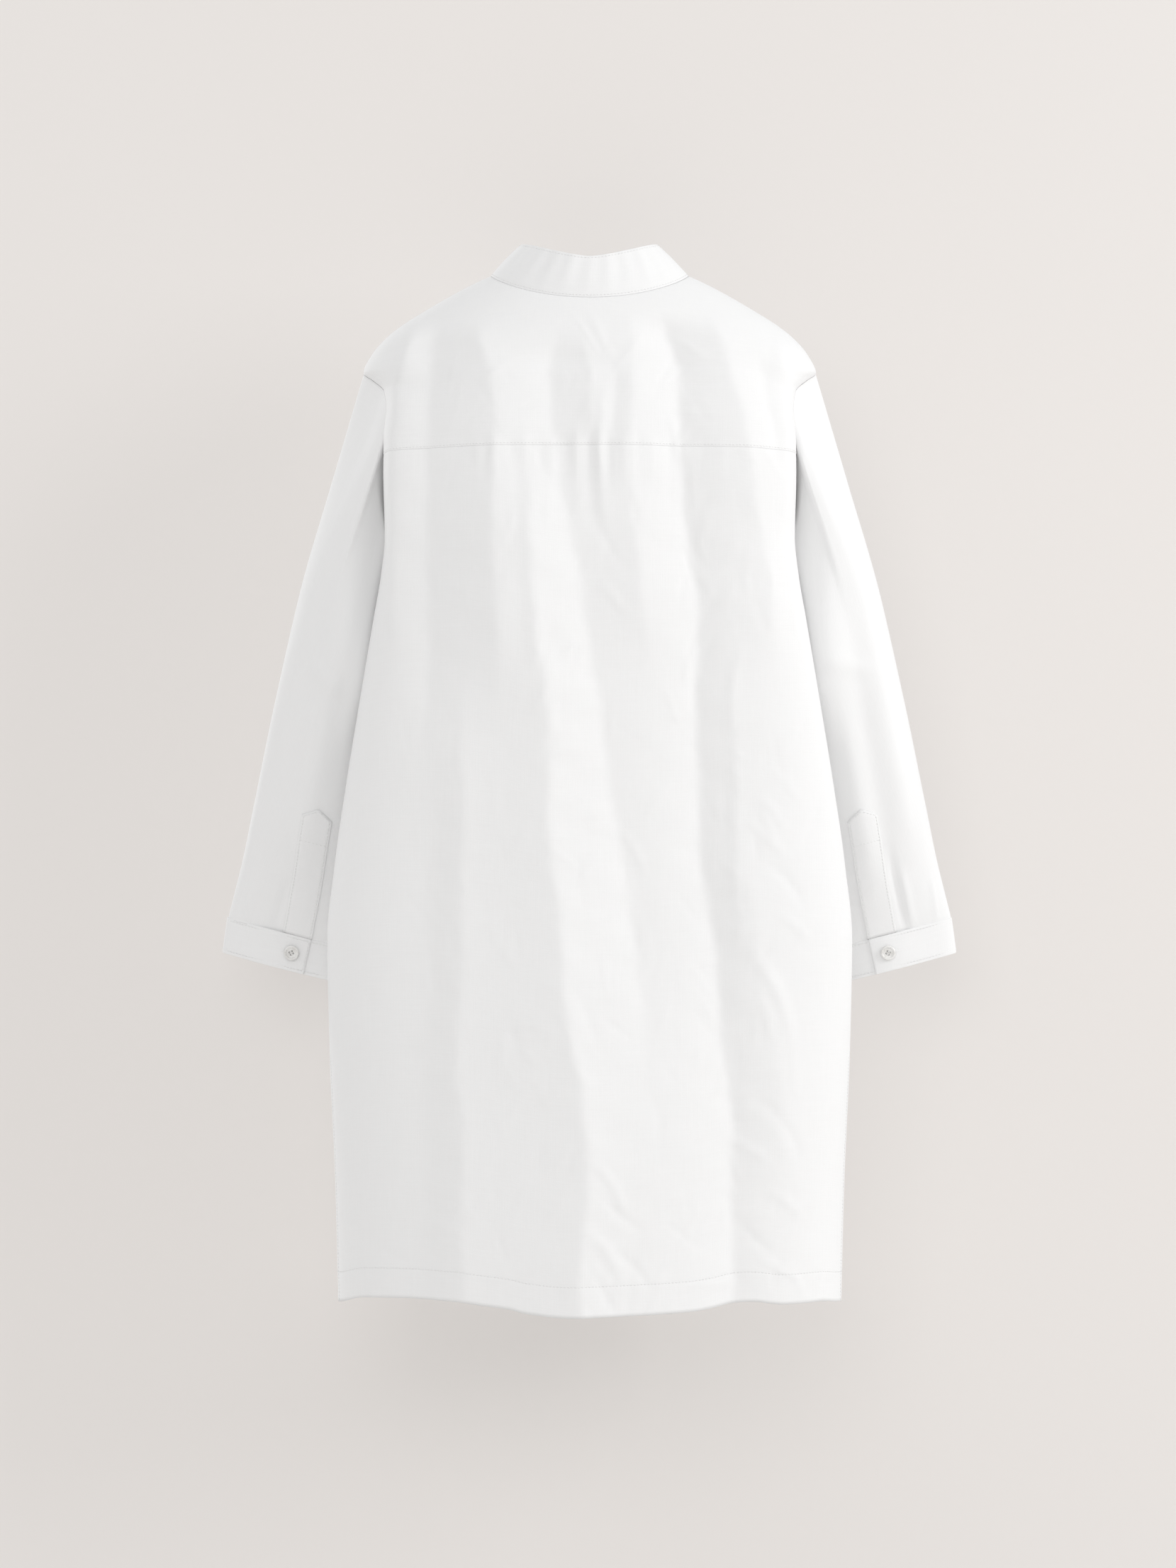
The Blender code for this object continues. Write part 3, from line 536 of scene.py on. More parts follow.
def armhole(turn):
    """Angle and height of the armhole at a turn: 0 at the shoulder tip, half a turn at the underarm."""
    middle, reach = (TIP_Z + UNDERARM_Z) / 2, (TIP_Z - UNDERARM_Z) / 2
    cos, sin = np.cos(turn), np.sin(turn)
    swing = np.where(sin >= 0, BACK_EDGE_SWING, -FRONT_EDGE_SWING) * sin
    return math.pi / 2 + UNDERARM_SWING * (1 - cos) / 2 + swing, middle + reach * cos


def side_angle(z, face):
    """The angle of a panel's side edge: shoulder seam, armhole, side seam or vent."""
    middle, reach = (TIP_Z + UNDERARM_Z) / 2, (TIP_Z - UNDERARM_Z) / 2
    turn = np.arccos(np.clip((z - middle) / reach, -1, 1))
    at_armhole = armhole(face * turn)[0]
    above_vent = np.clip((z - VENT_TOP_Z) / (UNDERARM_Z - VENT_TOP_Z), 0, 1)
    below_vent = np.clip((VENT_TOP_Z - z) / (VENT_TOP_Z - HEM_Z), 0, 1)
    spread = VENT_SPREAD_BACK if face == BACK else VENT_SPREAD_FRONT
    at_side = math.pi / 2 + UNDERARM_SWING * above_vent**2 + spread * below_vent
    return np.where(z >= TIP_Z, math.pi / 2, np.where(z > UNDERARM_Z, at_armhole, at_side))


def neck_height(turn):
    """The neckline's height at a turn from centre back."""
    cos = np.cos(turn)
    drop = np.where(cos >= 0, NECK_DROP_BACK, NECK_DROP_FRONT)
    return -drop * np.abs(cos) ** NECK_CURVE


def neck_angle(turn):
    """The body's angle at the neckline, for turns past centre front too."""
    past = np.abs(turn) > math.pi
    near = np.where(past, 2 * math.pi - np.abs(turn), np.abs(turn))
    ratio = np.clip(NECK_HALF * np.sin(near) / smooth(RINGS, "half", neck_height(near)), -1, 1)
    angle = np.where(np.cos(near) >= 0, np.arcsin(ratio), math.pi - np.arcsin(ratio))
    return np.where(past, 2 * math.pi - angle, angle) * np.where(turn < 0, -1, 1)


def panel_places(face, shares, heights, inner_half=0.0, to_neck=None):
    """Angles and heights of a grid on one face, as in the CAD: from side edge to side edge."""
    share, side_z = np.meshgrid(shares, heights)
    rise = np.zeros_like(side_z) if to_neck is None else ramp(side_z, to_neck, 0.0)
    quarter = math.pi / 2
    inner_turn = math.asin(inner_half / NECK_HALF)
    turn = inner_turn + (quarter - inner_turn) * np.abs(share)
    from_back = turn if face == BACK else math.pi - turn
    z = side_z + neck_height(from_back) * rise
    edge = side_angle(z, face) if face == BACK else math.pi - side_angle(z, face)
    inner = np.arcsin(inner_half / smooth(RINGS, "half", z))
    at_neck = neck_angle(from_back) if face == BACK else math.pi - neck_angle(from_back)
    inner_top = math.asin(inner_half / float(smooth(RINGS, "half", -NECK_DROP_FRONT)))
    even = inner_top + (quarter - inner_top) * np.abs(share)
    away = inner + (edge - inner) * np.abs(share) + (at_neck - even) * rise**2
    away = away * np.where(share < 0, -1, 1)
    return (away, z) if face == BACK else (math.pi - away, z)


# ---- The sleeve's form

SLEEVE_LENGTH = float(np.linalg.norm(SLEEVE_END - SLEEVE_START))
DOWN = (SLEEVE_END - SLEEVE_START) / SLEEVE_LENGTH
OUT = np.array((-DOWN[2], 0.0, DOWN[0]))
BEHIND = np.array((0.0, 1.0, 0.0))


def sleeve_tube(turn, along):
    """The plain tube of the left sleeve, from its outer line over the back."""
    half = smooth(SLEEVE_RINGS, "half", along)
    out = smooth(SLEEVE_RINGS, "bow", along) - half * (1 - np.cos(turn))
    sin = np.sin(turn)
    swell_round = SLEEVE_ROUND + (CUFF_END_ROUND - SLEEVE_ROUND) * ramp(along, 0.7, 1.0)
    swell = np.sign(sin) * np.abs(sin) ** swell_round
    behind = smooth(SLEEVE_RINGS, "mid_y", along) + smooth(SLEEVE_RINGS, "half_depth", along) * swell
    place = SLEEVE_START + np.multiply.outer(along * SLEEVE_LENGTH, DOWN)
    return place + np.multiply.outer(out, OUT) + np.multiply.outer(behind, BEHIND)


def sleeve_start(turn):
    """The armhole's points, and their shares along the outer line."""
    points = body(*armhole(turn))
    return points, (points - SLEEVE_START) @ DOWN / SLEEVE_LENGTH


def sleeve(turn, along, side):
    """A sleeve's outer face, as if on the left: the tube, drawn to the armhole at its top.

    The right sleeve's pieces are mirrored once made.
    """
    turn, along = np.broadcast_arrays(np.asarray(turn, float), np.asarray(along, float))
    points, first = sleeve_start(turn)
    share = (along - first) / (1 - first)
    hold = 1 - ramp(share, 0.0, ARMHOLE_EASE)
    degrees = np.degrees(turn)
    stand = np.zeros(turn.shape)
    for fold in (f for f in SLEEVE_FOLDS if f.side == side):
        line = fold.turn + fold.drift * (along - fold.top) / (fold.low - fold.top)
        across = (degrees - line + 180) % 360 - 180
        fade = ramp(along, fold.top, fold.top + 0.15) * ramp(-along, -fold.low, -fold.low + 0.15)
        stand = stand + fold.height * fade * bump(across, fold.half_turn)
    around = smooth(SLEEVE_RINGS, "half", along)
    for c in (c for c in SLEEVE_CREASES if c.side == side):
        u = np.radians((degrees - c.turn0 + 180) % 360 - 180) * around
        v = (along - c.along0) * SLEEVE_LENGTH
        stand = stand + crease(u, v, math.radians(c.turn1 - c.turn0) * around,
                               (c.along1 - c.along0) * SLEEVE_LENGTH, c.half_width, c.height, low_taper=0.2)
    facing = np.multiply.outer(np.cos(turn), OUT) + np.multiply.outer(np.sin(turn), BEHIND)
    stand = stand * ramp(share, 0.0, 0.05)
    pulled = (points - sleeve_tube(turn, first)) * hold[..., None]
    return sleeve_tube(turn, along) + pulled + facing * stand[..., None]


def cuff(turn, down):
    """The left cuff's outer face, down from its seam. It is lifted where it laps over itself."""
    turn, down = np.broadcast_arrays(np.asarray(turn, float), np.asarray(down, float))
    lift = (CAD_CLOTH + GAP) * ramp(turn, math.radians(45), math.radians(88))
    share = down / CUFF_HEIGHT
    half = CUFF_HALF - CUFF_TAPER * share
    top = SLEEVE_END - OUT * SLEEVE_RINGS[-1].half
    middle = top + np.multiply.outer(down, DOWN) - np.multiply.outer(share * CUFF_TAPER, OUT)
    out, behind = half * np.cos(turn), (CUFF_HALF_DEPTH + lift) * np.sin(turn)
    mid_y = SLEEVE_RINGS[-1].mid_y
    return middle + np.multiply.outer(out, OUT) + np.multiply.outer(mid_y + behind, BEHIND)


def cuff_turn(place):
    """The turn at a place on the cuff's back face, measured from its middle towards its outer line."""
    return np.arccos(np.asarray(place) / CUFF_HALF)


COLLAR_LAP = math.asin(STRIP_HALF / NECK_HALF)


def collar(turn, share):
    """Points of the collar band at turns from centre back, and shares of its height."""
    turn, share = np.broadcast_arrays(np.asarray(turn, float), np.asarray(share, float))
    base = body(neck_angle(turn), neck_height(turn))
    sin, cos = np.sin(turn), np.cos(turn)
    side = np.abs(sin) ** COLLAR_CURVE
    low_z = np.where(cos >= 0, COLLAR_TOP_BACK_Z, COLLAR_TOP_FRONT_Z)
    deep = np.where(cos >= 0, COLLAR_TOP_BACK_Y, COLLAR_TOP_FRONT_Y)
    top = stack(COLLAR_TOP_HALF * sin, deep * cos, low_z + (COLLAR_TOP_SIDE_Z - low_z) * side)
    step = COLLAR_STEP * np.sign(turn) * ramp(np.abs(turn), math.pi - 2 * COLLAR_LAP, math.pi - COLLAR_LAP)
    crown = 0.0010 * np.sin(math.pi * np.clip(share, 0, 1)) + 0.0006 * np.sin(5 * turn + 0.6) * share
    wave = np.sin(19 * turn + 1.3 + 2 * share) * np.sin(7 * turn + 0.4)
    crown = crown + 0.0006 * wave * np.sin(2.2 * share)
    outward = stack(sin * (step + crown), cos * (step + crown), 0 * step)
    return base + (top - base) * share[..., None] + outward


# ---- Meshes


def normals(surface, u, v, step=1e-4):
    """Outward unit normals of a surface."""
    along_u = surface(u + step, v) - surface(u - step, v)
    along_v = surface(u, v + step) - surface(u, v - step)
    normal = np.cross(along_v, along_u)
    return normal / np.maximum(np.linalg.norm(normal, axis=-1, keepdims=True), 1e-12)


def lifted(surface, u, v, out):
    """Points of a surface, moved out along its normal."""
    out = np.asarray(out, float)
    return surface(u, v) + normals(surface, u, v) * (out[..., None] if out.ndim else out)


def lengths(grid, axis):
    """Distances along a grid's rows or columns from their first points."""
    steps = np.linalg.norm(np.diff(grid, axis=axis), axis=-1)
    start = np.zeros_like(np.take(steps, [0], axis=axis))
    return np.concatenate([start, np.cumsum(steps, axis=axis)], axis=axis)


def link(obj):
    bpy.context.scene.collection.objects.link(obj)
    return obj


def piece(name, mesh, place=None):
    """A mesh as a piece of the garment's one body, in its place."""
    made = link(bpy.data.objects.new(name, mesh))
    if place:
        made.matrix_world = place
    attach(made, "root")
    return made


def shell(name, grid, thickness=CLOTH, closed=False, flip=False, keep=None, turn_threads=False):
    """A thin shell over a grid of points. Its UV map measures the cloth in metres along its threads."""
    rows, columns = grid.shape[:2]
    uv_grid = np.concatenate([grid, grid[:, :1]], axis=1) if closed else grid
    across = lengths(uv_grid, 1)
    across = across - across[:, across.shape[1] // 2][:, None]
    along = lengths(uv_grid, 0)
    if turn_threads:
        across, along = along, across
    index = np.arange(rows * columns).reshape(rows, columns)
    right = np.roll(index, -1, axis=1)
    count = columns if closed else columns - 1
    r, c = np.meshgrid(np.arange(rows - 1), np.arange(count), indexing="ij")
    wanted = np.ones_like(r, bool) if keep is None else keep(r, c)
    r, c = r[wanted], c[wanted]
    corners = [(r, c, index), (r + 1, c, index), (r + 1, c, right), (r, c, right)]
    quads = np.stack([which[i, j] for i, j, which in corners], axis=-1)
    shift = [c, c, c + 1, c + 1]
    uv = np.stack([np.stack([across[i, s], along[i, s]], -1)
                   for (i, _, _), s in zip(corners, shift)], axis=1)
    if flip:
        quads, uv = quads[:, ::-1], uv[:, ::-1]
    used, quads = np.unique(quads, return_inverse=True)
    quads = quads.reshape(-1, 4)
    mesh = bpy.data.meshes.new(name)
    mesh.from_pydata(grid.reshape(-1, 3)[used].tolist(), [], quads.tolist())
    mesh.uv_layers.new(name="threads").data.foreach_set("uv", uv.astype(np.float32).ravel())
    mesh.shade_smooth()
    mesh.materials.append(LINEN)
    made = piece(name, mesh)
    thick = made.modifiers.new("Cloth", "SOLIDIFY")
    thick.thickness = thickness
    thick.offset = -1.0
    return made


def cloth(name, grid, thickness=CLOTH, **how):
    """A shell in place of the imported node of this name."""
    made = shell(name + "_cloth", grid, thickness, **how)
    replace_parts(made, name)
    return made


def on_side(side, grid):
    """A grid made for the left, moved to the side that it is for: +1 is the left."""
    return grid * np.array((side, 1.0, 1.0))


def grains(name, runs, side=1, length=STITCH_LENGTH, pitch=STITCH_PITCH, width=STITCH_WIDTH):
    """Stitches along runs, each a row of places and the ways they face, as one joined mesh."""
    ring = 5
    turns = np.arange(ring) * 2 * math.pi / ring
    vertices, faces = [], []
    for places, facings in runs:
        far = lengths(places[None], 1)[0]
        count = max(int(far[-1] / pitch), 1)
        for middle in (np.arange(count) + 0.5) * far[-1] / count:
            ends = [np.array([np.interp(at, far, places[:, k]) for k in range(3)])
                    for at in (middle - length / 2, middle + length / 2)]
            facing = np.array([np.interp(middle, far, facings[:, k]) for k in range(3)])
            along = ends[1] - ends[0]
            aside = np.cross(facing, along)
            aside /= np.linalg.norm(aside)
            base = len(vertices)
            vertices.append(ends[0] - facing * width * 0.2)
            for share in (0.25, 0.75):
                centre = ends[0] + along * share + facing * width * 0.12
                vertices.extend(centre + aside * math.cos(t) * width / 2 + facing * math.sin(t) * width * 0.36
                                for t in turns)
            vertices.append(ends[1] - facing * width * 0.2)
            for k in range(ring):
                n = (k + 1) % ring
                a, b = base + 1 + k, base + 1 + n
                faces.extend([(base, b, a), (a, b, b + ring, a + ring),
                              (a + ring, b + ring, base + 2 * ring + 1)])
    faces = [f[::side] for f in faces]
    mesh = bpy.data.meshes.new(name)
    mesh.from_pydata(on_side(side, np.array(vertices)).tolist(), [], faces)
    mesh.shade_smooth()
    mesh.materials.append(THREAD)
    return piece(name, mesh)


def run(surface, u, v, out=0.0):
    """A row of places on a surface and the ways they face, for stitches."""
    u, v = np.broadcast_arrays(np.asarray(u, float), np.asarray(v, float))
    return lifted(surface, u, v, out), normals(surface, u, v)


# ---- Materials


def put(tree, socket, value):
    """Give a socket a value, or a link from another node's output."""
    if isinstance(value, bpy.types.NodeSocket):
        tree.links.new(value, socket)
    else:
        socket.default_value = value


def node(tree, kind, **values):
    """A shader node with its settings and inputs by name."""
    made = tree.nodes.new(kind)
    for key, value in values.items():
        if key in made.inputs:
            put(tree, made.inputs[key], value)
        else:
            setattr(made, key, value)
    return made


def mixed(tree, share, first, second, end):
    """Link a mix of two shaders, by a share, to the surface of the tree's end node."""
    mix = node(tree, "ShaderNodeMixShader", Fac=share)
    put(tree, mix.inputs[1], first)
    put(tree, mix.inputs[2], second)
    put(tree, tree.nodes[end].inputs["Surface"], mix.outputs["Shader"])


def new_material(name, colour, roughness, sheen=0.0, specular=0.5):
    made = bpy.data.materials.new(name)
    made.use_nodes = True
    shader = made.node_tree.nodes["Principled BSDF"]
    shader.inputs["Base Color"].default_value = (*colour, 1.0)
    shader.inputs["Roughness"].default_value = roughness
    shader.inputs["Specular IOR Level"].default_value = specular
    shader.inputs["Sheen Weight"].default_value = sheen
    shader.inputs["Sheen Roughness"].default_value = 0.5
    made.diffuse_color = (*colour, 1.0)
    return made


def linen_material():
    """Plain-weave linen: warp and weft as fine ribs, thick slubs along both, and soft crumpling."""
    made = new_material("white_linen", LINEN_WHITE, 0.88, sheen=0.12, specular=0.22)
    tree = made.node_tree
    shader = tree.nodes["Principled BSDF"]
    threads = node(tree, "ShaderNodeUVMap", uv_map="threads").outputs["UV"]

    def weave(direction, phase):
        wave = node(tree, "ShaderNodeTexWave", wave_type="BANDS", bands_direction=direction,
                    wave_profile="SIN", Vector=threads, Scale=0.314 / THREAD_PITCH, Distortion=0.35,
                    Detail=1.0, **{"Detail Scale": 0.4, "Phase Offset": phase})
        return wave.outputs["Fac"]

    def slubs(scale_x, scale_y, seed):
        mapping = node(tree, "ShaderNodeMapping", Vector=threads, Scale=(scale_x, scale_y, 1.0),
                       Location=(seed, seed * 0.7, 0.0))
        noise = node(tree, "ShaderNodeTexNoise", Vector=mapping.outputs["Vector"], Scale=1.0,
                     Detail=2.0, Roughness=0.55)
        return noise.outputs["Fac"]

    def reckon(operation, *values):
        made_node = node(tree, "ShaderNodeMath", operation=operation)
        for socket, value in zip(made_node.inputs, values):
            put(tree, socket, value)
        return made_node.outputs["Value"]

    ribs = reckon("MAXIMUM", weave("X", 0.0), weave("Y", 1.6))
    slub = reckon("ADD", slubs(900.0, 26.0, 3.1), slubs(30.0, 1000.0, 7.7))
    fine = node(tree, "ShaderNodeBump", Strength=0.22, Distance=0.00016,
                Height=reckon("MULTIPLY_ADD", slub, 1.6, ribs))
    soft = node(tree, "ShaderNodeBump", Strength=0.22, Distance=0.0012,
                Height=slubs(46.0, 34.0, 1.3), Normal=fine.outputs["Normal"])
    put(tree, shader.inputs["Normal"], soft.outputs["Normal"])
    tint = node(tree, "ShaderNodeMapRange", Value=slub,
                **{"From Min": 0.75, "From Max": 1.25, "To Min": 0.985, "To Max": 1.0})
    mix = node(tree, "ShaderNodeMix", data_type="RGBA", blend_type="MULTIPLY", Factor=1.0)
    colours = [socket for socket in mix.inputs if socket.type == "RGBA"]
    put(tree, colours[0], (*LINEN_WHITE, 1.0))
    put(tree, colours[1], tint.outputs["Result"])
    result = [socket for socket in mix.outputs if socket.type == "RGBA"][0]
    put(tree, shader.inputs["Base Color"], result)
    return made


def thread_material():
    """Sewing thread: the linen's white, with a fine twist."""
    made = new_material("sewing_thread", THREAD_WHITE, 0.6, sheen=0.1, specular=0.35)
    tree = made.node_tree
    where = node(tree, "ShaderNodeTexCoord").outputs["Object"]
    wave = node(tree, "ShaderNodeTexWave", bands_direction="DIAGONAL", Vector=where, Scale=900.0,
                Distortion=0.5)
    twist = node(tree, "ShaderNodeBump", Strength=0.4, Distance=0.0001, Height=wave.outputs["Fac"])
    put(tree, tree.nodes["Principled BSDF"].inputs["Normal"], twist.outputs["Normal"])
    return made


def pearl_material():
    """Pearly moulded buttons: a faint cloudy variation under a smooth gloss."""
    made = new_material("pearl_button", PEARL_WHITE, 0.24, specular=0.5)
    tree = made.node_tree
    shader = tree.nodes["Principled BSDF"]
    shader.inputs["Coat Weight"].default_value = 0.3
    shader.inputs["Coat Roughness"].default_value = 0.12
    where = node(tree, "ShaderNodeTexCoord").outputs["Object"]
    noise = node(tree, "ShaderNodeTexNoise", Vector=where, Scale=190.0, Detail=3.0, Roughness=0.6)
    clouds = node(tree, "ShaderNodeValToRGB", Fac=noise.outputs["Fac"])
    for stop, place, colour in zip(clouds.color_ramp.elements, (0.3, 0.75), (PEARL_DARK, PEARL_LIGHT)):
        stop.position, stop.color = place, (*colour, 1.0)
    put(tree, shader.inputs["Base Color"], clouds.outputs["Color"])
    return made


LINEN = linen_material()
THREAD = thread_material()
PEARL = pearl_material()


# ---- The cloth pieces

LOW_Z = -0.86


def arc(face, z):
    """Shares from a face's middle to its side edge at a height, and the distances along them."""
    shares = np.linspace(0.0, 1.0, 600)
    angle, z = panel_places(face, shares, np.array([z]))
    return shares, lengths(body(angle, z), 1)[0]


def half_places(face, lines=()):
    """Shares from the middle to the side edge, closer about the edge and about lines in from it."""
    shares, far = arc(face, LOW_Z)
    places = marks(0.0, far[-1], FINE_STEP, (far[-1], *(far[-1] - line for line in lines)))
    return np.interp(places, far, shares)


def inset_share(face, inset, z):
    """The share that lies a distance in from the side edge at a height."""
    shares, far = arc(face, z)
    return float(np.interp(far[-1] - inset, far, shares))


def from_sides(grid):
    """How far each point lies from the nearer end of its row."""
    far = lengths(grid, 1)
    return np.minimum(far, far[:, -1:] - far)


def edge_roll(side, *levels):
    """How far cloth rolls in along its seams: at its sides and at levels this far from the rows."""
    roll = bump(side, SEAM_ROLL_WIDTH) + sum(bump(level, SEAM_ROLL_WIDTH)[:, None] for level in levels)
    return -SEAM_ROLL * np.minimum(roll, 1.0)


def hem_line(side, heights):
    """The slight dip along the hem's stitches and along the vents' stitches."""
    hem = bump(heights - HEM_Z - HEM_DEPTH, STITCH_DIP_WIDTH)[:, None]
    below = ramp(-heights, -VENT_TOP_Z - 0.012, -VENT_TOP_Z)[:, None]
    vent = bump(side - VENT_DEPTH, STITCH_DIP_WIDTH) * below
    return -STITCH_DIP * np.maximum(hem, vent)


def seam_bend(heights, far):
    """How much of the yoke seam's rise a row takes: all at the seam, none far from it."""
    return 1 - ramp(np.abs(heights - YOKE_SEAM_Z), 0.0, abs(far - YOKE_SEAM_Z))


def make_back():
    half = half_places(BACK, (VENT_DEPTH,))
    shares = np.concatenate([-half[::-1][:-1], half])
    rise = (1 - shares**2) * YOKE_SEAM_RISE
    heights = marks(HEM_Z, YOKE_SEAM_Z, FINE_STEP * 1.08, (YOKE_SEAM_Z, HEM_Z + HEM_DEPTH))
    angle, z = panel_places(BACK, shares, heights)
    z = z + np.multiply.outer(seam_bend(heights, UNDERARM_Z), rise)
    side = from_sides(body(angle, z))
    roll = edge_roll(side, YOKE_SEAM_Z - heights) + hem_line(side, heights)
    panel = cloth("back_panel", lifted(body, angle, z, roll))

    heights = marks(YOKE_SEAM_Z, 0.0, FINE_STEP * 0.8, (YOKE_SEAM_Z, TIP_Z, 0.0))
    angle, z = panel_places(BACK, shares, heights, to_neck=YOKE_SEAM_Z)
    z = z + np.multiply.outer(seam_bend(heights, TIP_Z), rise)
    roll = edge_roll(from_sides(body(angle, z)), heights, heights - YOKE_SEAM_Z)
    return panel, cloth("back_yoke", lifted(body, angle, z, roll), turn_threads=True)


def make_front():
    half = half_places(FRONT, (VENT_DEPTH,))
    shares = np.concatenate([half[::-1], -half])
    shares[len(half)] = -1e-9
    heights = marks(HEM_Z, 0.0, FINE_STEP * 1.08, (HEM_Z + HEM_DEPTH, SLIT_END_Z, TIP_Z, 0.0))
    slit_row = int(np.argmin(np.abs(heights - SLIT_END_Z)))
    slit_column = len(half) - 1
    angle, z = panel_places(FRONT, shares, heights, inner_half=SLIT_HALF, to_neck=UNDERARM_Z)
    side = from_sides(body(angle, z))
    roll = edge_roll(side, heights) + hem_line(side, heights)
    return cloth("front_panel", lifted(body, angle, z, roll),
                 keep=lambda r, c: (c != slit_column) | (r < slit_row))


def make_hem_folds():
    """The hems and vents turned in behind the panels' edges, seen from below and through the vents."""
    made = []
    for face, name in ((BACK, "back"), (FRONT, "front")):
        shares = np.linspace(-0.999, 0.999, 160) * face
        heights = np.linspace(HEM_Z + 0.0004, HEM_Z + HEM_DEPTH, 5)
        angle, z = panel_places(face, shares, heights)
        out = -CLOTH - HEM_FOLD_GAP
        made.append(shell(name + "_hem_fold", lifted(body, angle, z, out), HEM_FOLD_THICK))
        for side_name, side in (("left", 1), ("right", -1)):
            shares = np.linspace(inset_share(face, VENT_DEPTH, LOW_Z), 0.999, 8) * side
            shares = shares if side * face > 0 else shares[::-1]
            heights = np.linspace(HEM_Z + 0.0006, VENT_TOP_Z + 0.010, 60)
            angle, z = panel_places(face, shares, heights)
            grid = lifted(body, angle, z, out - VENT_FOLD_GAP)
            made.append(shell("%s_vent_fold_%s" % (name, side_name), grid, VENT_FOLD_THICK))
    return made


def pressed(inside, edge, stitched):
    """How far a strip is pressed in at its edge and along its topstitching, this far inside its edge."""
    return -edge * bump(inside, FOLDED_EDGE_WIDTH) - stitched * bump(inside - EDGE_STITCH, TOPSTITCH_WIDTH)


def front_strip(out):
    """Points of a placket strip's face, this far out from the front panel's."""
    stitched = STRIP_HALF - EDGE_STITCH
    x = marks(-STRIP_HALF, STRIP_HALF, FINE_STEP * 0.8, (-stitched, stitched))[::-1]
    heights = marks(STRIP_END_Z, 0.0, FINE_STEP * 0.9)
    side_z = heights[:, None]
    z = side_z + neck_height(math.pi - np.arcsin(x / NECK_HALF)) * ramp(side_z, UNDERARM_Z, 0.0)
    angle = math.pi - np.arcsin(x / smooth(RINGS, "half", z))
    return lifted(body, angle, z, out + pressed(STRIP_HALF - np.abs(x), 0.0004, 0.0002))


def make_placket():
    strip = cloth("front_placket", front_strip(GAP + DOUBLE), DOUBLE)
    return strip, cloth("front_underlap", front_strip(-CLOTH - 3 * GAP))


def make_collar():
    turn = np.linspace(-math.pi - COLLAR_LAP, math.pi + COLLAR_LAP, 260)
    high = COLLAR_HEIGHT
    places = marks(0.0, high, TRIM_STEP, (0.0, EDGE_STITCH, high - EDGE_STITCH, high))
    share = (places / high)[:, None]
    out = pressed(np.minimum(places, high - places), 0.00015, 0.00008)
    grid = lifted(collar, turn, share, np.broadcast_to(out[:, None], (len(places), len(turn))))
    return cloth("collar_band", grid, DOUBLE, turn_threads=True)


def make_sleeve(side_name, side):
    surface = partial(sleeve, side=side)
    turn = np.linspace(0, 2 * math.pi, 118, endpoint=False)
    first = sleeve_start(turn)[1]
    share = marks(0.0, SLEEVE_CUT + CUFF_TUCK, FINE_STEP, (0.0, SLEEVE_CUT))[:, None] / SLEEVE_CUT
    along = first + (1 - first) * share
    roll = -SEAM_ROLL * bump((1 - share) * SLEEVE_CUT, SEAM_ROLL_WIDTH)
    grid = lifted(surface, np.broadcast_to(turn, along.shape), along, np.broadcast_to(roll, along.shape))
    return cloth("sleeve_" + side_name, on_side(side, grid), closed=True, flip=side < 0)


def strip_top(across):
    """How far the sleeve placket reaches above the cuff, at shares of its width."""
    return SLEEVE_STRIP_LENGTH - SLEEVE_STRIP_POINT * np.abs(2 * across - 1)


def strip_places(across, up):
    """The sleeve's turns and shares along it, at shares across the placket and heights above the cuff."""
    along = 1 - up / SLEEVE_LENGTH
    place = CUFF_OVERLAP_EDGE + SLEEVE_STRIP_WIDTH * across
    return np.arccos(place / smooth(SLEEVE_RINGS, "half", along)), along


def make_sleeve_strip(side_name, side):
    surface = partial(sleeve, side=side)
    width = SLEEVE_STRIP_WIDTH
    places = marks(0.0, width, 0.0026, (0.0, EDGE_STITCH, width - EDGE_STITCH, width))
    across = places / width
    share = marks(0.0, SLEEVE_STRIP_LENGTH, 0.0034, (SLEEVE_BOX_HEIGHT,))[:, None] / SLEEVE_STRIP_LENGTH
    up = strip_top(across) * (1 - share)
    turn, along = strip_places(across, up)
    near = np.minimum(places, width - places)
    from_top = strip_top(across) * share
    edge = np.maximum(bump(near, FOLDED_EDGE_WIDTH) * np.ones_like(up), bump(from_top, FOLDED_EDGE_WIDTH))
    out = GAP + DOUBLE - 0.0004 * edge + pressed(near, 0.0, 0.0002)
    grid = on_side(side, lifted(surface, turn, along, out))
    return cloth("sleeve_placket_" + side_name, grid, DOUBLE, flip=side > 0)


def make_cuff(side_name, side):
    turn = np.linspace(float(cuff_turn(CUFF_OVERLAP_EDGE)), math.pi / 2 - 2 * math.pi, 190)
    places = marks(GAP, CUFF_HEIGHT, TRIM_STEP, (GAP, CUFF_STITCH, CUFF_HEIGHT - CUFF_STITCH, CUFF_HEIGHT))
    near = np.minimum(places - GAP, CUFF_HEIGHT - places)
    out = -0.0003 * bump(near, FOLDED_EDGE_WIDTH) - 0.0001 * bump(near - CUFF_STITCH, TOPSTITCH_WIDTH)
    wave = 0.0004 * np.sin(turn * 5 + side) * np.ones_like(places)[:, None]
    grid = on_side(side, lifted(cuff, turn, places[:, None], out[:, None] + wave))
    return cloth("cuff_" + side_name, grid, DOUBLE, flip=side > 0, turn_threads=True)


# ---- Stitches


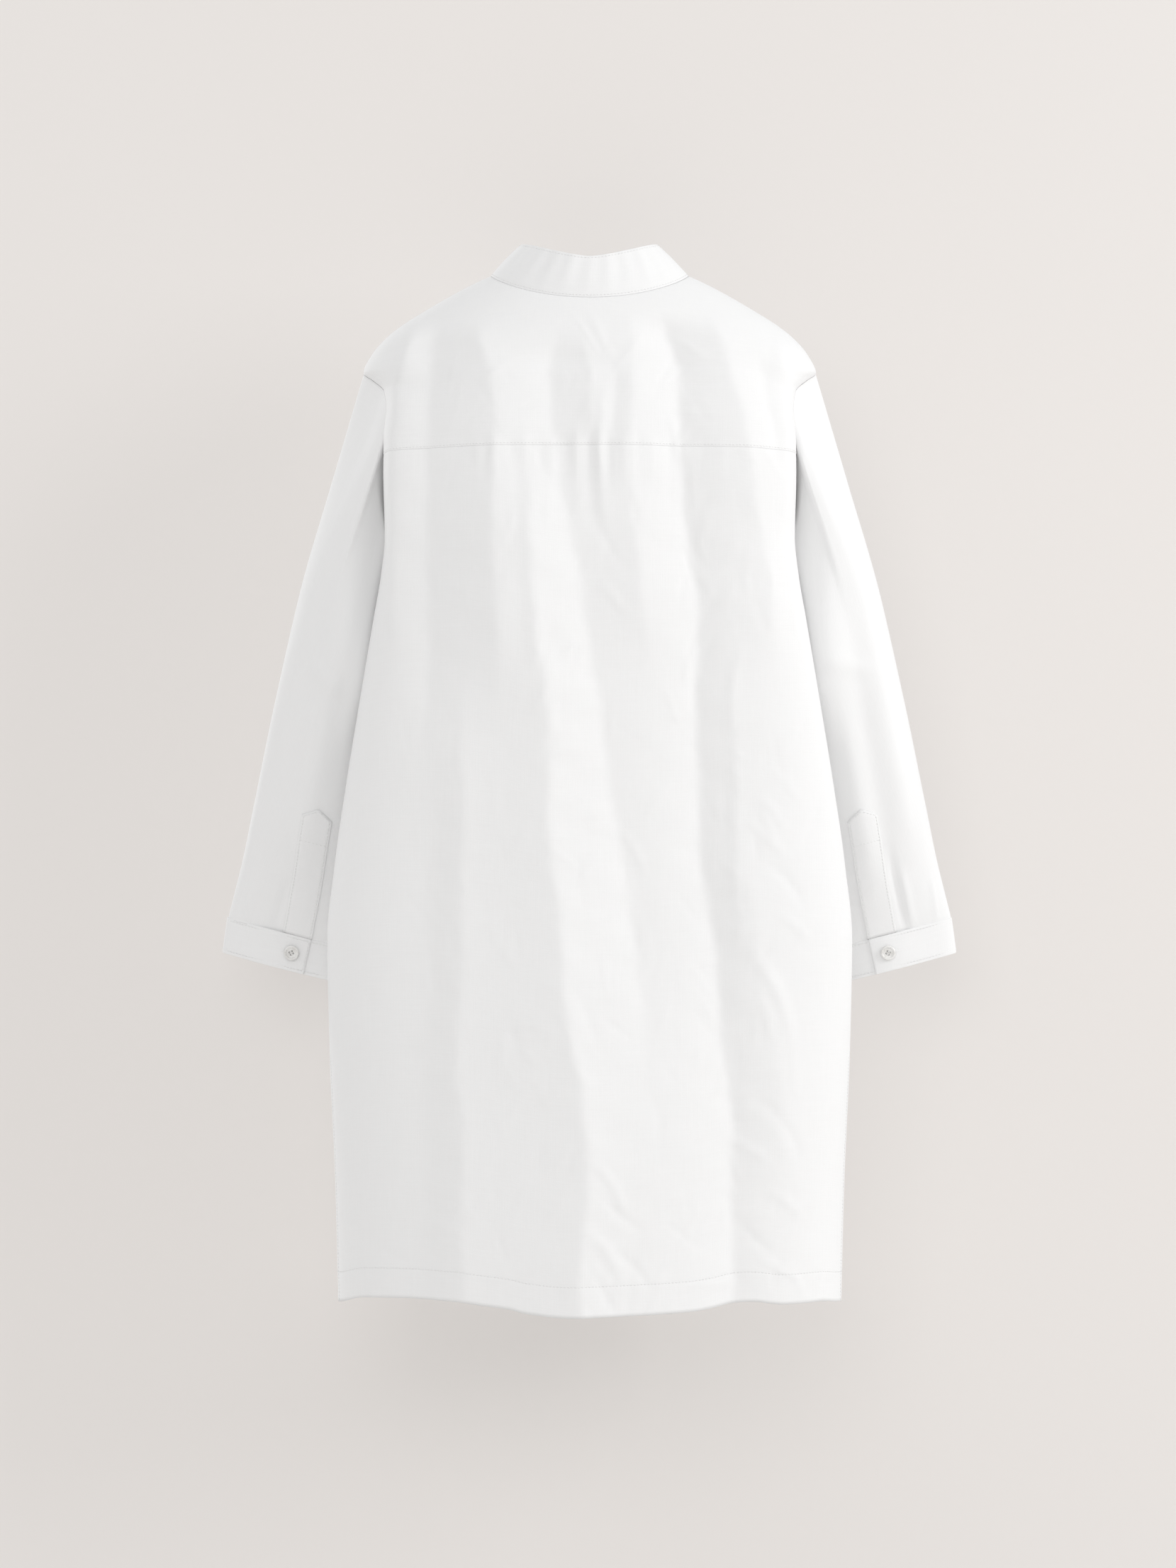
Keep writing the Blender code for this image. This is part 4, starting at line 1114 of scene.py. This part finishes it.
def make_body_stitches():
    """Topstitching on the body: the yoke seam, hems, vents, collar and placket."""
    wide = np.linspace(-0.985, 0.985, 200)
    yoke_z = YOKE_SEAM_Z + YOKE_SEAM_RISE * (1 - wide**2) + EDGE_STITCH
    runs = [run(body, wide * side_angle(yoke_z, BACK), yoke_z)]
    for face in (BACK, FRONT):
        shares = np.linspace(-1, 1, 200) * inset_share(face, 0.0015, HEM_Z)
        angle, z = panel_places(face, shares, np.array([HEM_Z + HEM_DEPTH]))
        runs.append(run(body, angle[0], z[0]))
        for side in (-1, 1):
            heights = np.linspace(HEM_Z + 0.001, VENT_TOP_Z + VENT_BAR, 60)
            knots = np.linspace(heights[0], heights[-1], 8)
            inner = side * np.interp(heights, knots, [inset_share(face, VENT_DEPTH, z) for z in knots])
            angle, z = (np.array([k[0, 0] for k in pair]) for pair in zip(*(
                panel_places(face, inner[[i]], heights[[i]]) for i in range(len(heights)))))
            runs.append(run(body, angle, z))
            top = np.linspace(inner[-1], side * inset_share(face, 0.001, VENT_TOP_Z), 10)
            angle, z = panel_places(face, top, heights[-1:])
            runs.append(run(body, angle[0], z[0]))
    made = [grains("body_stitches", runs)]

    turn = np.linspace(-math.pi - COLLAR_LAP + 0.02, math.pi + COLLAR_LAP - 0.02, 300)
    inset = EDGE_STITCH / COLLAR_HEIGHT
    runs = [run(collar, turn, share) for share in (inset, 1 - inset)]
    made.append(grains("collar_stitches", runs))

    top_z = np.linspace(STRIP_END_Z + EDGE_STITCH, -NECK_DROP_FRONT - 0.001, 80)
    runs = []
    for side in (-1, 1):
        x = side * (STRIP_HALF - EDGE_STITCH)
        runs.append(run(body, math.pi - np.arcsin(x / smooth(RINGS, "half", top_z)), top_z, GAP + DOUBLE))
    x = np.linspace(-1, 1, 12) * (STRIP_HALF - EDGE_STITCH)
    for z in (STRIP_END_Z + EDGE_STITCH, SLIT_END_Z + SLIT_STITCH):
        runs.append(run(body, math.pi - np.arcsin(x / smooth(RINGS, "half", z)), z, GAP + DOUBLE))
    made.append(grains("placket_stitches", runs))
    return made


def make_sleeve_stitches(side_name, side):
    """Stitches on a sleeve: round the cuff, up the placket and across its box."""
    surface = partial(sleeve, side=side)
    runs = []
    high = GAP + DOUBLE
    inset = EDGE_STITCH / SLEEVE_STRIP_WIDTH
    for across in (inset, 1 - inset):
        up = np.linspace(0.001, float(strip_top(across)) - EDGE_STITCH, 40)
        runs.append(run(surface, *strip_places(across, up), high))
    across = np.linspace(inset, 1 - inset, 24)
    runs.append(run(surface, *strip_places(across, strip_top(across) - EDGE_STITCH), high))
    box = float(strip_top(0.0)) - SLEEVE_BOX_HEIGHT
    runs.append(run(surface, *strip_places(across, np.full_like(across, box)), high))
    turn = np.linspace(float(cuff_turn(CUFF_OVERLAP_EDGE + EDGE_STITCH)), math.pi * 0.52 - 2 * math.pi, 160)
    for down in (CUFF_STITCH, CUFF_HEIGHT - CUFF_STITCH):
        runs.append(run(cuff, turn, down))
    down = np.linspace(CUFF_STITCH, CUFF_HEIGHT - CUFF_STITCH, 20)
    runs.append(run(cuff, np.full_like(down, turn[0]), down))
    grains("sleeve_stitches_" + side_name, runs, side)


LIP = np.linspace(0.15, 1.0, 3) * BUTTONHOLE_LIP
BUTTONHOLE_STITCH = {"length": 0.0014, "pitch": 0.0014, "width": 0.0006}


def lip_runs(surface, u, v, out):
    """One stitch for each row of places across a buttonhole's lip."""
    places, facings = run(surface, u, v, out)
    return list(zip(places, facings))


def make_cuff_buttonhole(side_name, side):
    places = np.arange(CUFF_BUTTON_PLACE - BUTTONHOLE_BACK, CUFF_BUTTON_PLACE + BUTTONHOLE_AHEAD,
                       BUTTONHOLE_PITCH)
    turn = cuff_turn(places)[:, None] + 0 * LIP
    runs = [one for lip in (LIP, -LIP) for one in lip_runs(cuff, turn, CUFF_HEIGHT / 2 + lip, 0.0)]
    grains("buttonhole_" + side_name, runs, side, **BUTTONHOLE_STITCH)


# ---- Buttons


def turned(profile, steps):
    """A closed mesh turned about Z from a profile of (radius, height) from top axis to bottom axis."""
    mesh = bmesh.new()
    rings = []
    for radius, height in profile:
        if radius == 0:
            rings.append([mesh.verts.new((0, 0, height))])
        else:
            rings.append([mesh.verts.new((radius * math.cos(a), radius * math.sin(a), height))
                          for a in np.arange(steps) * 2 * math.pi / steps])
    for above, below in zip(rings, rings[1:]):
        for k in range(steps):
            n = (k + 1) % steps
            if len(above) == 1:
                mesh.faces.new((above[0], below[k], below[n]))
            elif len(below) == 1:
                mesh.faces.new((above[k], below[0], above[n]))
            else:
                mesh.faces.new((above[k], below[k], below[n], above[n]))
    return mesh


def button_mesh():
    """A four-hole button with a rounded raised rim round a shallow dish."""
    steps = 64
    rim_middle, dish = BUTTON_RADIUS - BUTTON_RIM_HALF, BUTTON_THICK - BUTTON_RIM_RISE
    profile = [(0.0, dish - 0.0002), (0.0022, dish - 0.00015), (0.0038, dish)]
    profile += [(rim_middle - BUTTON_RIM_HALF * math.cos(a), dish + BUTTON_RIM_RISE * math.sin(a))
                for a in np.linspace(0.1, math.pi / 2, 6)]
    profile += [(rim_middle + BUTTON_RIM_HALF * math.sin(a),
                 BUTTON_THICK - BUTTON_RIM_RISE * (1 - math.cos(a)))
                for a in np.linspace(0.25, math.pi / 2, 6)]
    profile += [(BUTTON_RADIUS, 0.0009), (BUTTON_RADIUS - 0.0005, 0.0003), (BUTTON_RADIUS - 0.0016, 0.0),
                (0.0, 0.0)]
    made = turned(profile, steps)
    mesh = bpy.data.meshes.new("button")
    made.to_mesh(mesh)
    made.free()
    whole = link(bpy.data.objects.new("button_blank", mesh))
    cutters = []
    for k in range(4):
        a = math.pi / 4 + k * math.pi / 2
        hole = bmesh.new()
        bmesh.ops.create_cone(hole, cap_ends=True, segments=14, radius1=BUTTON_HOLE_RADIUS,
                              radius2=BUTTON_HOLE_RADIUS, depth=0.01)
        bmesh.ops.translate(hole, verts=hole.verts, vec=(BUTTON_HOLE_PLACE * math.cos(a),
                                                         BUTTON_HOLE_PLACE * math.sin(a), 0.001))
        cutter_mesh = bpy.data.meshes.new("button_hole")
        hole.to_mesh(cutter_mesh)
        hole.free()
        cutter = link(bpy.data.objects.new("button_hole", cutter_mesh))
        cutters.append(cutter)
        cut = whole.modifiers.new("Hole", "BOOLEAN")
        cut.operation = "DIFFERENCE"
        cut.object = cutter
    bpy.context.view_layer.update()
    ready = bpy.data.meshes.new_from_object(whole.evaluated_get(bpy.context.evaluated_depsgraph_get()))
    ready.materials.clear()
    ready.materials.append(PEARL)
    ready.shade_smooth()
    ready.set_sharp_from_angle(angle=math.radians(50))
    for old in (whole, *cutters):
        bpy.data.objects.remove(old)
    return ready


def add_button(name, place, facing, spin):
    """A button at a place, its four holes threaded with two short crossings."""
    turn = Vector(facing).to_track_quat("Z", "Y").to_matrix().to_4x4()
    turn = turn @ Matrix.Rotation(spin, 4, "Z")
    turn.translation = Vector(place)
    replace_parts(piece(name + "_fine", button_mesh(), turn), name)
    runs = []
    share = np.linspace(-1, 1, 7)
    arch = BUTTON_THICK - BUTTON_RIM_RISE + 0.00035 * (1 - share**4)
    for lane in (-BUTTON_LANE, BUTTON_LANE):
        for side in (-1, 1):
            path = np.stack([share * 0.0019, np.full(7, side * 0.0012) + lane, arch], -1)
            path = path @ np.array(turn.to_3x3()).T + np.array(turn.translation)
            runs.append((path, np.broadcast_to(np.array(facing), path.shape)))
    grains(name + "_thread", runs, length=0.0036, pitch=0.0038, width=0.00045)


def seat(surface, u, v, out):
    """A button's seat: a place lifted off a surface, and the way it faces."""
    u, v = np.array(float(u)), np.array(float(v))
    return lifted(surface, u, v, out), normals(surface, u, v)


def make_buttons():
    for side_name, side in (("left", 1), ("right", -1)):
        place, facing = seat(cuff, cuff_turn(CUFF_BUTTON_PLACE), CUFF_HEIGHT / 2, 2 * GAP)
        add_button("cuff_button_" + side_name, on_side(side, place), on_side(side, facing), 0.5 * side)
        make_cuff_buttonhole(side_name, side)
    stand_off = GAP + DOUBLE + 2 * GAP
    spacing = (SLIT_END_Z + NECK_DROP_FRONT) / (PLACKET_BUTTONS + PLACKET_SPARE)
    runs = []
    for number in range(PLACKET_BUTTONS):
        z = -NECK_DROP_FRONT + spacing * (number + PLACKET_FIRST)
        place, facing = seat(body, math.pi, z, stand_off)
        add_button("placket_button_%d" % (number + 1), place, facing, 0.3 * number)
        at = z + np.arange(-BUTTONHOLE_HALF, BUTTONHOLE_HALF + 0.0001, BUTTONHOLE_PITCH)[:, None]
        for lip in (LIP, -LIP):
            angle = math.pi - np.arcsin(lip / float(smooth(RINGS, "half", z)))
            runs.extend(lip_runs(body, angle + 0 * at, at + 0 * angle, GAP + DOUBLE))
    grains("placket_buttonholes", runs, **BUTTONHOLE_STITCH)
    place, facing = seat(collar, math.pi - 1e-4, 0.5, 2 * GAP)
    add_button("collar_button", place, facing, 0.8)


# ---- Building it

back_panel, back_yoke = make_back()
front_panel = make_front()
hem_folds = make_hem_folds()
placket, underlap = make_placket()
collar_band = make_collar()
body_stitches, collar_stitches, placket_stitches = make_body_stitches()
for which, sign in (("left", 1), ("right", -1)):
    make_sleeve(which, sign)
    make_sleeve_strip(which, sign)
    make_cuff(which, sign)
    make_sleeve_stitches(which, sign)
make_buttons()


# ---- Stage, lights and camera

VIEW_DISTANCE = 3.0
VIEW_HEIGHT = -0.4597
VIEW_SHIFT = 0.0016
VIEW_LENS = 76.05
GARMENT_MIDDLE = (0.0, 0.0, -0.45)
WORLD_LIGHT = 0.71
WORLD_SEEN = (0.77, 0.735, 0.715)
FLOOR_Z = -1.45
WALL_Y = -0.150


def stage_plane(name, size, place, turn, material):
    mesh = bpy.data.meshes.new(name)
    flat = bmesh.new()
    bmesh.ops.create_grid(flat, x_segments=1, y_segments=1, size=0.5)
    flat.to_mesh(mesh)
    flat.free()
    made = link(bpy.data.objects.new(name, mesh))
    made.scale = (size[0], size[1], 1.0)
    made.location = place
    made.rotation_euler = turn
    mesh.materials.append(material)
    return made


def backdrop_material():
    """Pale warm paper on its front. From behind it is clear, so that it hides nothing."""
    made = new_material("backdrop", BACKDROP_GREY, 1.0, specular=0.0)
    tree = made.node_tree
    paper = tree.nodes["Principled BSDF"]
    paper.inputs["Emission Color"].default_value = (*BACKDROP_GLOW, 1.0)
    paper.inputs["Emission Strength"].default_value = 1.0
    behind = node(tree, "ShaderNodeNewGeometry").outputs["Backfacing"]
    clear = node(tree, "ShaderNodeBsdfTransparent")
    mixed(tree, behind, paper.outputs["BSDF"], clear.outputs["BSDF"], "Material Output")
    return made


def make_stage():
    wall = stage_plane("backdrop", (14.0, 9.0), (0, WALL_Y, 1.0), (-math.pi / 2, 0, 0), backdrop_material())
    wall.visible_shadow = wall.visible_diffuse = wall.visible_glossy = False
    floor = new_material("floor", FLOOR_GREY, 1.0, specular=0.0)
    stage_plane("floor", (14.0, 14.0), (0, 0, FLOOR_Z), (0, 0, 0), floor)


def area_light(name, place, size, watts):
    data = bpy.data.lights.new(name, "AREA")
    data.shape = "SQUARE"
    data.size = size
    data.energy = watts
    made = link(bpy.data.objects.new(name, data))
    made.location = place
    made.rotation_euler = (Vector(GARMENT_MIDDLE) - Vector(place)).to_track_quat("-Z", "Y").to_euler()


def make_lights():
    area_light("key", (-3.5, 1.37, 0.92), 1.8, 63)
    area_light("fill", (0.7, 3.7, 1.0), 2.4, 24)
    area_light("edge_fill", (2.5, 1.3, 1.3), 1.4, 3)
    area_light("front_key", (2.6, -2.6, 1.1), 2.0, 45)
    world = bpy.data.worlds.new("studio")
    bpy.context.scene.world = world
    world.use_nodes = True
    tree = world.node_tree
    ground = tree.nodes["Background"]
    ground.inputs["Color"].default_value = (1.0, 1.0, 1.0, 1.0)
    ground.inputs["Strength"].default_value = WORLD_LIGHT
    seen = node(tree, "ShaderNodeBackground", Color=(*WORLD_SEEN, 1.0))
    to_camera = node(tree, "ShaderNodeLightPath").outputs["Is Camera Ray"]
    mixed(tree, to_camera, ground.outputs["Background"], seen.outputs["Background"], "World Output")


def make_camera():
    data = bpy.data.cameras.new("camera")
    data.sensor_width = 36.0
    data.lens = VIEW_LENS
    made = link(bpy.data.objects.new("camera", data))
    made.location = (VIEW_SHIFT, VIEW_DISTANCE, VIEW_HEIGHT)
    made.rotation_euler = (math.pi / 2, 0, math.pi)
    bpy.context.scene.camera = made


make_stage()
make_lights()
make_camera()
bpy.context.scene.view_settings.view_transform = "Standard"
